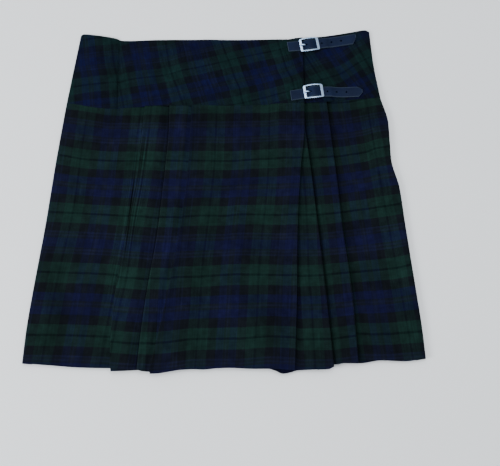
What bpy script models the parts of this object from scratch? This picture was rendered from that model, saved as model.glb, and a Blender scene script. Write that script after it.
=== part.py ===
"""A short yoked kilt in dark tartan, fastened and laid flat on its back.

The pleated back lies on the floor, the under-apron on the back and the over-apron on top. A smooth
yoke runs from the pleats to the waist, and two leather straps hold the over-apron shut. The origin is
under the middle of the garment. +X is to the viewer's right, +Y towards the waist, +Z up.

The tables are in millimetres and the scene is in metres.
"""

import math
from collections import namedtuple

import bmesh
import bpy
from mathutils import Matrix, Vector

MM = 0.001

# Cloth
CLOTH = 1.2  # thickness of a ply
GAP = 0.3  # between plies, and between pieces at a seam
PLY = CLOTH + GAP
FLOOR_PLY = CLOTH / 2  # height of the middle of the ply on the floor
BACK_PLIES = 3  # plies in a stack of knife pleats
FRONT = [FLOOR_PLY + PLY * (BACK_PLIES + i) for i in range(3)]  # plies of the front skirt
PLEAT_DEPTH = 22.0  # of the front pleats, under their fold
OVER_EARLY = 11.0  # how much sooner the over-apron climbs than what it lies on
BACK_PLEATS = 12
BACK_PLEAT_DEPTH = 24.0
SIDE_TAB = 12.0  # how far a side piece reaches round under the back
BACK_GAP = 0.8  # between a side piece's end and the back

# How far the cloth takes to climb onto a stack of pleats, or to sink from one
STRIP_RAMP = 11.0
UNDER_RAMP = 18.0
OVER_RAMP = 26.0
BACK_RAMP = 7.0
# The yoke climbs onto the front pleats at its seam. Columns: x where it starts, length, plies.
UNDER_YOKE_RAMPS = ((60.0, 25.0, 2), (150.0, 22.0, -2))
OVER_YOKE_RAMPS = ((56.0, 25.0, 2), (146.0, 22.0, -2), (-138.0, 20.0, 2), (-26.0, 27.0, -1))
YOKE_RISE = 1.3  # power of the yoke's rise from the waist to its seam

# Straps and buckles
LEATHER = 1.8
STRAP_WIDTH = 16.0
CHAPE_LEATHER = 1.2
CHAPE_WIDTH = 13.0
CHAPE_REACH = 21.0  # from the bar to its sewn end
BEND_REACH = 18.0  # of a strap, to each side of the bar
BAR_RADIUS = 1.0
BUCKLE_LONG, BUCKLE_WIDE = 28.4, 23.2
WINDOW_LONG, WINDOW_WIDE = 21.2, 19.3
BUCKLE_THICK = 1.7
BUCKLE_ARCH = 2.0
BUCKLE_BARREL = 0.10  # how much narrower the frame is at its ends than in the middle, as a share
PIN_RADIUS = 0.7
STRAP_HOLE_RADIUS = 1.5

# Where the fold lines and edges run. Columns: x at these shares of the way from seam to hem.
DOWN = (0.0, 0.11, 0.25, 0.37, 0.5, 0.75, 0.9, 1.0)
LINES = {
    "left": (-232.8, -236.9, -241.7, -245.2, -249.0, -258.5, -263.0, -264.3),
    "pleat_1": (-118.0, -120.3, -123.0, -128.5, -134.8, -147.0, -149.5, -148.3),
    "pleat_2": (-82.0, -81.9, -85.0, -88.4, -92.4, -105.0, -110.6, -112.9),
    "inner_2": (-60.0, -60.0, -64.4, -68.6, -74.0, -89.0, -99.1, -106.0),
    "pleat_3": (-50.0, -50.5, -53.0, -56.6, -62.0, -77.5, -89.0, -97.0),
    "under_end": (-24.0, -24.5, -27.0, -30.6, -36.0, -51.5, -63.0, -71.0),
    "opening": (114.0, 113.2, 107.3, 103.5, 100.5, 97.7, 95.2, 93.4),
    "pleat_4": (109.5, 114.4, 120.4, 124.8, 129.3, 137.5, 142.0, 145.0),
    "pleat_5": (148.0, 151.6, 155.9, 159.1, 162.7, 172.4, 175.3, 177.0),
    "right": (226.0, 235.6, 236.4, 246.0, 250.3, 259.2, 264.4, 266.4),
}
# The same for the yoke, at the waist, halfway and at the seam.
YOKE_LINES = {
    "left": (-219.8, -226.4, -232.8),
    "side_seam": (-161.0, -159.5, -158.0),
    "under_end": (-24.0, -24.0, -24.0),
    "opening": (114.0, 114.0, 114.0),
    "right": (215.0, 218.8, 226.0),
}
# How far up or down each edge lies. Rows: x, y.
EDGES = {
    "waist": (
        (-219.0, 251.0), (-215.6, 253.2), (-197.4, 251.4), (-179.2, 248.5), (-167.1, 245.8),
        (-154.8, 242.1), (-145.0, 241.5), (-124.8, 242.4), (-100.9, 243.3), (-46.8, 243.5),
        (13.2, 242.1), (73.3, 243.3), (91.3, 243.5), (106.0, 246.2), (139.0, 248.5), (166.0, 252.4),
        (188.0, 256.5), (209.0, 260.1), (214.5, 257.0),
    ),
    "waist_hidden": ((-217.0, 243.0), (-161.0, 236.5), (91.0, 237.5), (166.0, 246.0), (213.0, 250.0)),
    "seam": (
        (-232.8, 136.4), (-167.0, 127.0), (-135.0, 129.0), (-83.0, 131.0), (-27.0, 131.0),
        (35.0, 132.0), (92.0, 134.0), (148.0, 137.5), (187.0, 142.0), (226.0, 145.7),
    ),
    "hem_back": ((-251.0, -239.3), (-155.0, -243.5), (100.0, -243.0), (145.0, -240.0), (251.0, -233.5)),
    "hem_left": ((-264.0, -242.3), (-232.0, -244.8), (-185.0, -248.1), (-155.0, -248.7), (-120.0, -248.8)),
    "hem_strip_left": ((-147.0, -253.2), (-128.0, -252.6), (-112.0, -251.2), (-90.0, -250.0)),
    "hem_strip_middle": ((-112.0, -251.4), (-105.0, -253.2), (-97.0, -253.4), (-75.0, -253.4)),
    "hem_over": (
        (-97.0, -256.6), (-87.0, -256.3), (-67.0, -253.2), (-55.0, -251.3), (-38.0, -250.4),
        (-27.0, -250.9), (-8.0, -249.2), (9.5, -248.8), (35.0, -249.8), (68.0, -250.1), (93.5, -251.6),
    ),
    "hem_under": (
        (-71.0, -245.0), (40.0, -245.0), (68.0, -252.0), (78.0, -256.0), (88.0, -254.4),
        (97.0, -251.6), (137.0, -250.4), (145.0, -246.9),
    ),
    "hem_strip_right": ((120.0, -242.0), (149.0, -243.9), (161.0, -241.8), (177.0, -242.9)),
    "hem_right": ((150.0, -242.0), (178.0, -242.5), (207.0, -238.6), (238.0, -239.7), (265.8, -235.9)),
}
# Soft waves that stand up from the over-apron near its hem. Columns: x at the hem, half-width,
# height, share of the way down where it starts.
WAVES = (
    (-64.0, 30.0, 1.6, 0.45),
    (10.0, 26.0, 1.3, 0.60),
    (62.0, 24.0, 1.2, 0.55),
)
WAVE_LEAN = 24.0  # how far a wave's upper end lies to the right of its foot

# Straps and their buckles. Columns: name, x and y of the buckle's middle, the buckle's turn and the
# strap's to the left and to the right of it in degrees, the strap's length to the left and to the
# right, length of its tip, how far the tip's point lies to one side, places of the free holes.
Strap = namedtuple("Strap", "name x y turn left_turn right_turn left right tip point holes")
STRAPS = (
    Strap("upper", 123.6, 231.9, 8.6, 4.1, 10.0, 32.0, 72.0, 6.5, 4.5, (19.2, 34.0, 48.8)),
    Strap("lower", 127.4, 151.5, 6.5, 10.0, 2.3, 33.5, 72.0, 6.5, 1.0, (20.4, 34.2, 48.6)),
)

# A path goes along the cloth, ply after ply. Columns: height, the place where the ply ends, columns
# of mesh to there or the places it goes through, upper edge, lower edge. The cloth folds into the
# next ply where that runs back the other way.
Ply = namedtuple("Ply", "height end across top bottom")

COLOURS = {  # base colour, roughness, metallic
    "over_apron": ((0.012, 0.026, 0.030), 0.9, 0.0),
    "under_apron": ((0.010, 0.022, 0.028), 0.9, 0.0),
    "back": ((0.009, 0.019, 0.026), 0.9, 0.0),
    "left_side": ((0.011, 0.024, 0.031), 0.9, 0.0),
    "strap": ((0.012, 0.014, 0.018), 0.45, 0.0),
    "chape": ((0.010, 0.011, 0.014), 0.5, 0.0),
    "buckle_frame": ((0.62, 0.66, 0.70), 0.25, 1.0),
    "buckle_pin": ((0.58, 0.61, 0.65), 0.3, 1.0),
}


# --- reading the tables ---


def eased(share):
    """Smooth step from 0 to 1."""
    share = min(max(share, 0.0), 1.0)
    return share * share * (3.0 - 2.0 * share)


def read(rows, key):
    """The value at a key, on a smooth curve through the rows that never overshoots them."""
    keys = [row[0] for row in rows]
    values = [row[1] for row in rows]
    slopes = [(b - a) / (q - p) for a, b, p, q in zip(values, values[1:], keys, keys[1:])]
    tangents = [slopes[0]]
    for before, after in zip(slopes, slopes[1:]):
        turns = before * after <= 0.0
        tangents.append(0.0 if turns else 2.0 * before * after / (before + after))
    tangents.append(slopes[-1])
    if key <= keys[0]:
        return values[0] + tangents[0] * (key - keys[0])
    if key >= keys[-1]:
        return values[-1] + tangents[-1] * (key - keys[-1])
    i = max(n for n in range(len(slopes)) if keys[n] <= key)
    width = keys[i + 1] - keys[i]
    u = (key - keys[i]) / width
    start = (1.0 + 2.0 * u) * (1.0 - u) ** 2 * values[i] + u * (1.0 - u) ** 2 * width * tangents[i]
    finish = u * u * (3.0 - 2.0 * u) * values[i + 1] + u * u * (u - 1.0) * width * tangents[i + 1]
    return start + finish


def line_x(line, down):
    return read(list(zip(DOWN, LINES[line])), down)


def on_skirt(line, past=0.0):
    """The x of a place a little past a skirt line, as a function of the way down."""
    return lambda down: line_x(line, down) + past


def on_yoke(line, past=0.0):
    places = tuple(zip((0.0, 0.5, 1.0), YOKE_LINES[line]))
    return lambda down: read(places, down) + past


def back_pleat(number, past=0.0):
    """A place on the back's pleat lines, which share out its width."""
    share = number / BACK_PLEATS

    def place(down):
        left = line_x("left", down) + SIDE_TAB + BACK_GAP
        right = line_x("right", down) - SIDE_TAB - BACK_GAP
        return left + (right - left) * share + past

    return place


# --- how high each ply lies ---


def level(height):
    return lambda x, down: height


def sinking(x, start, end):
    """A strip between two folds sinks from the stack that it comes from to the ply below."""
    return FRONT[2] - 2.0 * PLY * eased((x - start) / (end - start))


def strip_left_height(x, down):
    return sinking(x, line_x("pleat_1", down) + PLEAT_DEPTH, line_x("pleat_2", down) - 2.0)


def strip_middle_height(x, down):
    return sinking(x, line_x("inner_2", down), line_x("pleat_3", down) - 2.0)


def strip_right_height(x, down):
    start = line_x("pleat_4", down)
    return FRONT[0] + 2.0 * PLY * eased((x - start) / STRIP_RAMP)


def under_apron_height(x, down):
    """The under-apron lies on the back and climbs onto its own pleats at the right."""
    stack = line_x("pleat_4", down) - PLEAT_DEPTH - 2.0
    return FRONT[0] + 2.0 * PLY * eased((x - stack + UNDER_RAMP) / UNDER_RAMP)


def wave_height(x, down):
    total = 0.0
    for foot, half_width, height, start in WAVES:
        middle = foot + WAVE_LEAN * (1.0 - down)
        across = max(0.0, 1.0 - ((x - middle) / half_width) ** 2)
        total += height * across**2 * eased((down - start) / (1.0 - start))
    return total


def over_apron_height(x, down):
    """The over-apron follows the under-apron, and climbs onto its own pleats at the left."""
    stack = line_x("pleat_3", down) + PLEAT_DEPTH + 2.0
    climb = PLY * (1.0 - eased((x - stack) / OVER_RAMP))
    below = under_apron_height(x + OVER_EARLY, down)
    return below + PLY + climb + wave_height(x, down)


def back_height(number):
    """A back ply comes from under the pleat at this line down to the floor, just past its fold."""
    top = FLOOR_PLY + PLY * (BACK_PLIES - 1)

    def height(x, down):
        past = x - back_pleat(number)(down)
        return top - (top - FLOOR_PLY) * eased((past - 1.0) / BACK_RAMP)

    return height


def yoke_height(waist, ramps, x, down):
    """The yoke rises from the waist to the pleats that its seam lies on."""
    plies = sum(plies * eased((x - start) / length) for start, length, plies in ramps)
    return waist + (FRONT[0] + PLY * plies - waist) * down**YOKE_RISE


def under_yoke_height(x, down):
    return yoke_height(FLOOR_PLY + PLY, UNDER_YOKE_RAMPS, x, down)


def over_yoke_height(x, down):
    """It lies on the under-apron's yoke, past the end of which it sinks to the back."""
    below = 1.0 + eased((x - YOKE_LINES["under_end"][0] + 25.0) / 25.0)
    return yoke_height(FLOOR_PLY + PLY * below, OVER_YOKE_RAMPS, x, down)


# --- the cloth pieces, as paths ---

PATHS = {
    "skirt_over_apron": (
        on_skirt("left", SIDE_TAB),
        (
            Ply(level(FLOOR_PLY), on_skirt("left"), 1, "seam", "hem_left"),
            Ply(level(FRONT[0]), on_skirt("pleat_1", PLEAT_DEPTH), 12, "seam", "hem_left"),
            Ply(level(FRONT[1]), on_skirt("pleat_1"), 2, "seam", "hem_left"),
            Ply(strip_left_height, on_skirt("inner_2"), 9, "seam", "hem_strip_left"),
            Ply(level(FRONT[1]), on_skirt("pleat_2"), 2, "seam", "hem_strip_left"),
            Ply(strip_middle_height, on_skirt("pleat_3", PLEAT_DEPTH), 9, "seam", "hem_strip_middle"),
            Ply(level(FRONT[1]), on_skirt("pleat_3"), 2, "seam", "hem_strip_middle"),
            Ply(over_apron_height, on_skirt("opening"), 24, "seam", "hem_over"),
        ),
    ),
    "skirt_under_apron": (
        on_skirt("under_end"),
        (
            Ply(under_apron_height, on_skirt("pleat_4"), 24, "seam", "hem_under"),
            Ply(level(FRONT[1]), on_skirt("pleat_4", -PLEAT_DEPTH), 2, "seam", "hem_under"),
            Ply(strip_right_height, on_skirt("pleat_5"), 9, "seam", "hem_strip_right"),
            Ply(level(FRONT[1]), on_skirt("pleat_5", -PLEAT_DEPTH), 2, "seam", "hem_strip_right"),
            Ply(level(FRONT[0]), on_skirt("right"), 9, "seam", "hem_right"),
            Ply(level(FLOOR_PLY), on_skirt("right", -SIDE_TAB), 1, "seam", "hem_right"),
        ),
    ),
    "yoke_left_side": (
        on_yoke("left", SIDE_TAB),
        (
            Ply(level(FLOOR_PLY), on_yoke("left"), 1, "waist", "seam"),
            Ply(over_yoke_height, on_yoke("side_seam", -GAP / 2), 6, "waist", "seam"),
        ),
    ),
    "yoke_over_apron": (
        on_yoke("side_seam", GAP / 2),
        (Ply(over_yoke_height, on_yoke("opening"), 26, "waist", "seam"),),
    ),
    "yoke_under_apron": (
        on_yoke("under_end"),
        (
            Ply(under_yoke_height, on_yoke("opening", -1.0), 14, "waist_hidden", "seam"),
            Ply(under_yoke_height, on_yoke("right"), 10, "waist", "seam"),
            Ply(level(FLOOR_PLY), on_yoke("right", -SIDE_TAB), 1, "waist", "seam"),
        ),
    ),
    "yoke_back": (
        on_yoke("left", SIDE_TAB + GAP),
        (
            Ply(
                level(FLOOR_PLY),
                on_yoke("right", -SIDE_TAB - GAP),
                12,
                "waist_hidden",
                "seam",
            ),
        ),
    ),
}
DOWN_YOKE = (0.0, 0.16, 0.36, 0.58, 0.79, 1.0)
TURN_STEPS = 4


def back_path():
    """Twelve knife pleats. Each face lies on the floor and folds back twice under the next."""
    lower = level(FLOOR_PLY + PLY)
    plies = [Ply(level(FLOOR_PLY), back_pleat(1), 2, "seam", "hem_back")]
    for number in range(1, BACK_PLEATS):
        ramp = (1.0, 1.0 + BACK_RAMP / 2.0, 1.0 + BACK_RAMP)
        through = tuple(back_pleat(number, past) for past in ramp)
        end = back_pleat(number + 1)
        plies.append(Ply(lower, back_pleat(number, -BACK_PLEAT_DEPTH), 1, "seam", "hem_back"))
        plies.append(Ply(back_height(number), end, through, "seam", "hem_back"))
    return back_pleat(0), tuple(plies)


# --- building cloth ---


def path_row(start, plies, down):
    """The middle line of a cloth at one share of the way down: x, height and the ply, in order."""
    ends = [start(down)] + [ply.end(down) for ply in plies]
    row = []
    begin = ends[0]
    for i, ply in enumerate(plies):
        heading = 1.0 if ends[i + 1] > ends[i] else -1.0
        finish = ends[i + 1]
        folds = i + 1 < len(plies) and folds_back(ends, i)
        if folds:
            here = ply.height(finish, down)
            there = plies[i + 1].height(finish, down)
            radius = abs(there - here) / 2.0
            finish -= heading * (CLOTH / 2.0 + radius)
        if isinstance(ply.across, int):
            stations = [begin + (finish - begin) * n / ply.across for n in range(ply.across + 1)]
        else:
            stations = [begin] + [place(down) for place in ply.across] + [finish]
        if row and not folds_back(ends, i - 1):
            stations = stations[1:]
        row += [(x, ply.height(x, down), ply) for x in stations]
        if folds:
            low, high = ply.height(finish, down), plies[i + 1].height(finish, down)
            for n in range(1, TURN_STEPS):
                angle = math.pi * n / TURN_STEPS
                x = finish + heading * radius * math.sin(angle)
                row.append((x, low + (high - low) * (1.0 - math.cos(angle)) / 2.0, ply))
        begin = finish
    return row


def folds_back(ends, i):
    """Whether the cloth turns round after ply i, rather than running straight on."""
    return (ends[i + 1] - ends[i]) * (ends[i + 2] - ends[i + 1]) < 0.0


def cloth_points(start, plies, rows, seam_first):
    """The middle surface, row by row. The seam keeps half a gap to each side."""
    top = path_row(start, plies, 0.0)
    bottom = path_row(start, plies, 1.0)
    upper = [read(EDGES[ply.top], x) - (GAP / 2.0 if seam_first else 0.0) for x, z, ply in top]
    lower = [read(EDGES[ply.bottom], x) + (0.0 if seam_first else GAP / 2.0) for x, z, ply in bottom]
    grid = []
    for down in rows:
        row = path_row(start, plies, down)
        ys = [a + (b - a) * down for a, b in zip(upper, lower)]
        grid.append([Vector((x * MM, y * MM, z * MM)) for (x, z, ply), y in zip(row, ys)])
    return grid


def add_sheet(name, grid, thickness, collection):
    """A wall with this grid as its middle surface."""
    across, down = len(grid[0]) - 1, len(grid) - 1
    mesh = bpy.data.meshes.new(name)
    bm = bmesh.new()
    bmesh.ops.create_grid(bm, x_segments=across, y_segments=down, size=1.0)
    for vert in bm.verts:
        column = round((vert.co.x + 1.0) / 2.0 * across)
        row = round((1.0 - vert.co.y) / 2.0 * down)
        vert.co = grid[row][column]
    bm.to_mesh(mesh)
    bm.free()
    obj = bpy.data.objects.new(name, mesh)
    collection.objects.link(obj)
    wall = obj.modifiers.new("wall", "SOLIDIFY")
    wall.thickness = thickness * MM
    wall.offset = 0.0
    wall.use_even_offset = True
    return obj


# --- straps and buckles ---


def surface(x, y):
    """How high the right side of the yoke lies, at its upper face."""
    waist, seam = read(EDGES["waist"], x), read(EDGES["seam"], x)
    down = max(0.0, (waist - y) / (waist - seam))
    return under_yoke_height(x, down) + CLOTH / 2.0


def strap_lift(along):
    """How high the middle of a strap lies over the right yoke: flat, over the bar and flat again."""
    beside = PLY + GAP + LEATHER / 2.0
    over_bar = bar_height() + BAR_RADIUS + 3.0 * GAP + CHAPE_LEATHER + LEATHER / 2.0
    hump = (1.0 + math.cos(math.pi * min(abs(along) / 10.5, 1.0))) / 2.0
    rest = GAP + LEATHER / 2.0
    sink = eased((along - CHAPE_REACH - 3.0) / 9.0)
    return beside + (over_bar - beside) * hump - (beside - rest) * sink


def bar_height():
    """The centre bar lies on the chape's lower ply."""
    return GAP + CHAPE_LEATHER + GAP + BAR_RADIUS


def frame_height():
    """The underside of the frame's ends, just over the strap."""
    return PLY + GAP + LEATHER + GAP


def frame_of(strap):
    """The buckle's own axes: along the strap, across it, and up from the tilted yoke."""
    step = 4.0
    rise_x = (surface(strap.x + step, strap.y) - surface(strap.x - step, strap.y)) / (2.0 * step)
    rise_y = (surface(strap.x, strap.y + step) - surface(strap.x, strap.y - step)) / (2.0 * step)
    turn = math.radians(strap.turn)
    along = Vector((math.cos(turn), math.sin(turn), 0.0))
    across = Vector((-math.sin(turn), math.cos(turn), 0.0))
    along.z = rise_x * along.x + rise_y * along.y
    across.z = rise_x * across.x + rise_y * across.y
    middle = Vector((strap.x, strap.y, surface(strap.x, strap.y)))
    matrix = Matrix.Identity(4)
    for column, axis in enumerate((along, across, Vector((0.0, 0.0, 1.0)))):
        for row in range(3):
            matrix[row][column] = axis[row]
    matrix.translation = middle * MM
    return matrix


def strap_aside(strap, along):
    """How far the strap's middle line lies beside the buckle's own axis, because it bends there."""
    turn = strap.right_turn if along > 0.0 else strap.left_turn
    tip = strap.point * max(0.0, 1.0 - (strap.right - along) / strap.tip)
    return tip + along * math.tan(math.radians(turn - strap.turn)) * eased(abs(along) / BEND_REACH)


def strap_half_width(strap, along):
    share = max(strap.right - along, 0.0) / strap.tip
    return STRAP_WIDTH / 2.0 * min(1.0, 0.24 + 0.76 * share**0.8)


def cut(obj, cutter, cutters):
    """Takes a cutter out of an object."""
    for collection in cutter.users_collection:
        collection.objects.unlink(cutter)
    cutters.objects.link(cutter)
    cutter.hide_render = True
    cutter.display_type = "WIRE"
    modifier = obj.modifiers.new(cutter.name, "BOOLEAN")
    modifier.operation = "DIFFERENCE"
    modifier.object = cutter


def new_cylinder(name, radius, depth, matrix, stretch=1.0):
    mesh = bpy.data.meshes.new(name)
    bm = bmesh.new()
    bmesh.ops.create_cone(
        bm,
        cap_ends=True,
        segments=12,
        radius1=radius * MM,
        radius2=radius * MM,
        depth=depth * MM,
    )
    bmesh.ops.scale(bm, vec=(stretch, 1.0, 1.0), verts=bm.verts)
    bmesh.ops.transform(bm, matrix=matrix, verts=bm.verts)
    bm.to_mesh(mesh)
    bm.free()
    return bpy.data.objects.new(name, mesh)


def new_box(name, size, middle, matrix):
    mesh = bpy.data.meshes.new(name)
    bm = bmesh.new()
    bmesh.ops.create_cube(bm, size=1.0)
    bmesh.ops.scale(bm, vec=Vector(size) * MM, verts=bm.verts)
    bmesh.ops.translate(bm, vec=Vector(middle) * MM, verts=bm.verts)
    bmesh.ops.transform(bm, matrix=matrix, verts=bm.verts)
    bm.to_mesh(mesh)
    bm.free()
    return bpy.data.objects.new(name, mesh)


def add_strap(strap, collection, cutters):
    """A flat strap over the buckle's bar, its holes punched through."""
    turn = math.radians(strap.turn)
    stations = [-strap.left, -22.0, -13.0]
    stations += [-10.5 + 1.75 * n for n in range(13)]
    stations += [13.0, 18.0, CHAPE_REACH + 3.0, CHAPE_REACH + 6.0, CHAPE_REACH + 9.0]
    stations += [CHAPE_REACH + 12.0, 44.0, 54.0, strap.right - strap.tip]
    stations += [strap.right - strap.tip * share for share in (0.6, 0.3, 0.1, 0.0)]
    grid = []
    for side in (1.0, -1.0):
        row = []
        for along in stations:
            across = strap_aside(strap, along) + side * strap_half_width(strap, along)
            x = strap.x + along * math.cos(turn) - across * math.sin(turn)
            y = strap.y + along * math.sin(turn) + across * math.cos(turn)
            row.append(Vector((x, y, surface(x, y) + strap_lift(along))) * MM)
        grid.append(row)
    obj = add_sheet("strap_" + strap.name, grid, LEATHER, collection)
    matrix = frame_of(strap)
    for number, along in enumerate(strap.holes):
        place = matrix @ Matrix.Translation((along * MM, strap_aside(strap, along) * MM, 0.0))
        name = f"hole_{strap.name}_{number}"
        cut(obj, new_cylinder(name, STRAP_HOLE_RADIUS, 30.0, place), cutters)
    place = matrix @ Matrix.Translation((-5.4 * MM, 0.0, 0.0))
    slot = new_cylinder("pin_hole_" + strap.name, STRAP_HOLE_RADIUS, 30.0, place, 2.0)
    cut(obj, slot, cutters)
    return obj


def add_chape(strap, collection, cutters):
    """The short leather that loops round the centre bar and is sewn to the side of the yoke."""
    height = bar_height()
    radius = BAR_RADIUS + GAP + CHAPE_LEATHER / 2.0
    profile = [(CHAPE_REACH, GAP + CHAPE_LEATHER / 2.0), (12.0, GAP + CHAPE_LEATHER / 2.0)]
    for n in range(7):
        angle = math.radians(-90.0 - 30.0 * n)
        profile.append((radius * math.cos(angle), height + radius * math.sin(angle)))
    profile += [(2.6, height + radius - 0.5), (5.4, height + 0.1)]
    matrix = frame_of(strap)
    grid = [
        [matrix @ Vector((x * MM, side * CHAPE_WIDTH / 2.0 * MM, z * MM)) for x, z in profile]
        for side in (-1.0, 1.0)
    ]
    obj = add_sheet("chape_" + strap.name, grid, CHAPE_LEATHER, collection)
    slot = new_box("chape_slot_" + strap.name, (9.0, 3.0, 12.0), (-0.5, 0.0, 4.0), matrix)
    cut(obj, slot, cutters)
    return obj


def rounded_outline(spline_points, long, wide, radius, steps):
    """Points round a rectangle with round corners, with extra points along its long sides."""
    half = Vector((long / 2.0 - radius, wide / 2.0 - radius))
    points = []
    for quarter, (sx, sy) in enumerate(((1, 1), (-1, 1), (-1, -1), (1, -1))):
        for n in range(steps + 1):
            angle = math.pi / 2.0 * (quarter + n / steps)
            points.append((sx * half.x + radius * math.cos(angle), sy * half.y + radius * math.sin(angle)))
        if quarter in (0, 2):
            points += [(sx * half.x * (1.0 - share), sy * wide / 2.0) for share in (0.4, 0.8, 1.2, 1.6)]
    spline_points.add(len(points) - 1)
    for point, (x, y) in zip(spline_points, points):
        point.co = (x * MM, y * MM, 0.0, 1.0)


def add_buckle_frame(strap, collection, cutters):
    """An arched rectangular frame with a centre bar that hangs from its long sides."""
    flat = bpy.data.curves.new("frame_outline", "CURVE")
    flat.dimensions = "2D"
    flat.fill_mode = "BOTH"
    flat.extrude = (BUCKLE_THICK / 2.0 - 0.35) * MM
    flat.bevel_depth = 0.35 * MM
    flat.bevel_resolution = 0
    for long, wide, radius in (
        (BUCKLE_LONG - 0.7, BUCKLE_WIDE - 0.7, 1.9),
        (WINDOW_LONG + 0.7, WINDOW_WIDE + 0.7, 1.2),
    ):
        spline = flat.splines.new("POLY")
        rounded_outline(spline.points, long, wide, radius, 3)
        spline.use_cyclic_u = True
    guide = bpy.data.objects.new("frame_outline", flat)
    collection.objects.link(guide)
    evaluated = guide.evaluated_get(bpy.context.evaluated_depsgraph_get())
    mesh = bpy.data.meshes.new_from_object(evaluated)
    bpy.data.objects.remove(guide)
    name = "buckle_frame_" + strap.name
    mesh.name = name
    bm = bmesh.new()
    bm.from_mesh(mesh)
    bmesh.ops.remove_doubles(bm, verts=bm.verts, dist=0.01 * MM)
    matrix = frame_of(strap)
    for vert in bm.verts:
        share = vert.co.x / (BUCKLE_LONG / 2.0 * MM)
        vert.co.y *= 1.0 - BUCKLE_BARREL * share**2
        vert.co.z += (frame_height() + BUCKLE_THICK / 2.0) * MM
        vert.co.z += BUCKLE_ARCH * (1.0 - share**2) * MM
    bmesh.ops.transform(bm, matrix=matrix, verts=bm.verts)
    bm.to_mesh(mesh)
    bm.free()
    obj = bpy.data.objects.new(name, mesh)
    collection.objects.link(obj)
    between = (WINDOW_WIDE + BUCKLE_WIDE) / 2.0
    turned = Matrix.Translation((0.0, 0.0, bar_height() * MM)) @ Matrix.Rotation(math.pi / 2, 4, "X")
    bar = new_cylinder("bar_" + strap.name, BAR_RADIUS, between, matrix @ turned)
    top = frame_height() + BUCKLE_ARCH + 0.6 * BUCKLE_THICK
    foot = bar_height() - 0.6 * BAR_RADIUS
    size = (2.4, 1.0, top - foot)
    posts = [
        new_box(f"post_{strap.name}_{side}", size, (0.0, y, (top + foot) / 2.0), matrix)
        for side, y in (("a", between / 2.0), ("b", -between / 2.0))
    ]
    for piece in [bar] + posts:
        cutters.objects.link(piece)
        piece.hide_render = True
        piece.display_type = "WIRE"
        union = obj.modifiers.new(piece.name, "BOOLEAN")
        union.operation = "UNION"
        union.object = piece
    return obj


def add_pin(strap, collection):
    """The pin hooks over the centre bar, comes up through the strap and rests on the frame's end."""
    reach = BAR_RADIUS + GAP + PIN_RADIUS
    rest = frame_height() + BUCKLE_THICK + BUCKLE_ARCH * 0.5 + PIN_RADIUS + GAP
    profile = []
    for n in range(8):
        angle = math.radians(-50.0 + 27.0 * n)
        profile.append((reach * math.cos(angle), bar_height() + reach * math.sin(angle)))
    profile += [(-4.2, bar_height() + 0.9), (-6.2, rest - 1.6), (-8.6, rest - 0.1)]
    profile += [(-11.0, rest), (-13.5, rest - 0.4)]
    curve = bpy.data.curves.new("buckle_pin_" + strap.name, "CURVE")
    curve.dimensions = "3D"
    curve.bevel_depth = PIN_RADIUS * MM
    curve.bevel_resolution = 1
    curve.use_fill_caps = True
    spline = curve.splines.new("POLY")
    spline.points.add(len(profile) - 1)
    matrix = frame_of(strap)
    for point, (x, z) in zip(spline.points, profile):
        point.co = (matrix @ Vector((x * MM, 0.0, z * MM))).to_4d()
    obj = bpy.data.objects.new(curve.name, curve)
    collection.objects.link(obj)
    return obj


# --- assembly ---


def give_material(obj, kind):
    colour, roughness, metallic = COLOURS[kind]
    material = bpy.data.materials.new(obj.name)
    material.use_nodes = True
    shader = material.node_tree.nodes["Principled BSDF"]
    shader.inputs["Base Color"].default_value = (*colour, 1.0)
    shader.inputs["Roughness"].default_value = roughness
    shader.inputs["Metallic"].default_value = metallic
    obj.data.materials.append(material)


def new_collection(name):
    collection = bpy.data.collections.new(name)
    bpy.context.scene.collection.children.link(collection)
    return collection


def build():
    for obj in list(bpy.data.objects):
        bpy.data.objects.remove(obj)
    kilt = new_collection("kilt")
    cutters = new_collection("cutters")
    paths = dict(PATHS, skirt_back=back_path())
    for name, (start, plies) in paths.items():
        yoke = name.startswith("yoke")
        grid = cloth_points(start, plies, DOWN_YOKE if yoke else DOWN, not yoke)
        obj = add_sheet(name, grid, CLOTH, kilt)
        give_material(obj, name.split("_", 1)[1])
    for strap in STRAPS:
        give_material(add_strap(strap, kilt, cutters), "strap")
        give_material(add_chape(strap, kilt, cutters), "chape")
        give_material(add_buckle_frame(strap, kilt, cutters), "buckle_frame")
        give_material(add_pin(strap, kilt), "buckle_pin")


build()
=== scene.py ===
"""A short yoked kilt in a dark traditional tartan, laid flat and held shut by two leather straps.

Each cloth piece is one wall over a folded grid, in the place that its solid holds. The straps lie over
their buckles' bars. The tables are in millimetres, the scene is in metres, and threads count along the
tartan's sett.
"""

import math
from collections import namedtuple

import bmesh
import bpy
from bpy.props import FloatProperty, FloatVectorProperty, PointerProperty
from mathutils import Matrix, Vector, noise


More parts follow.
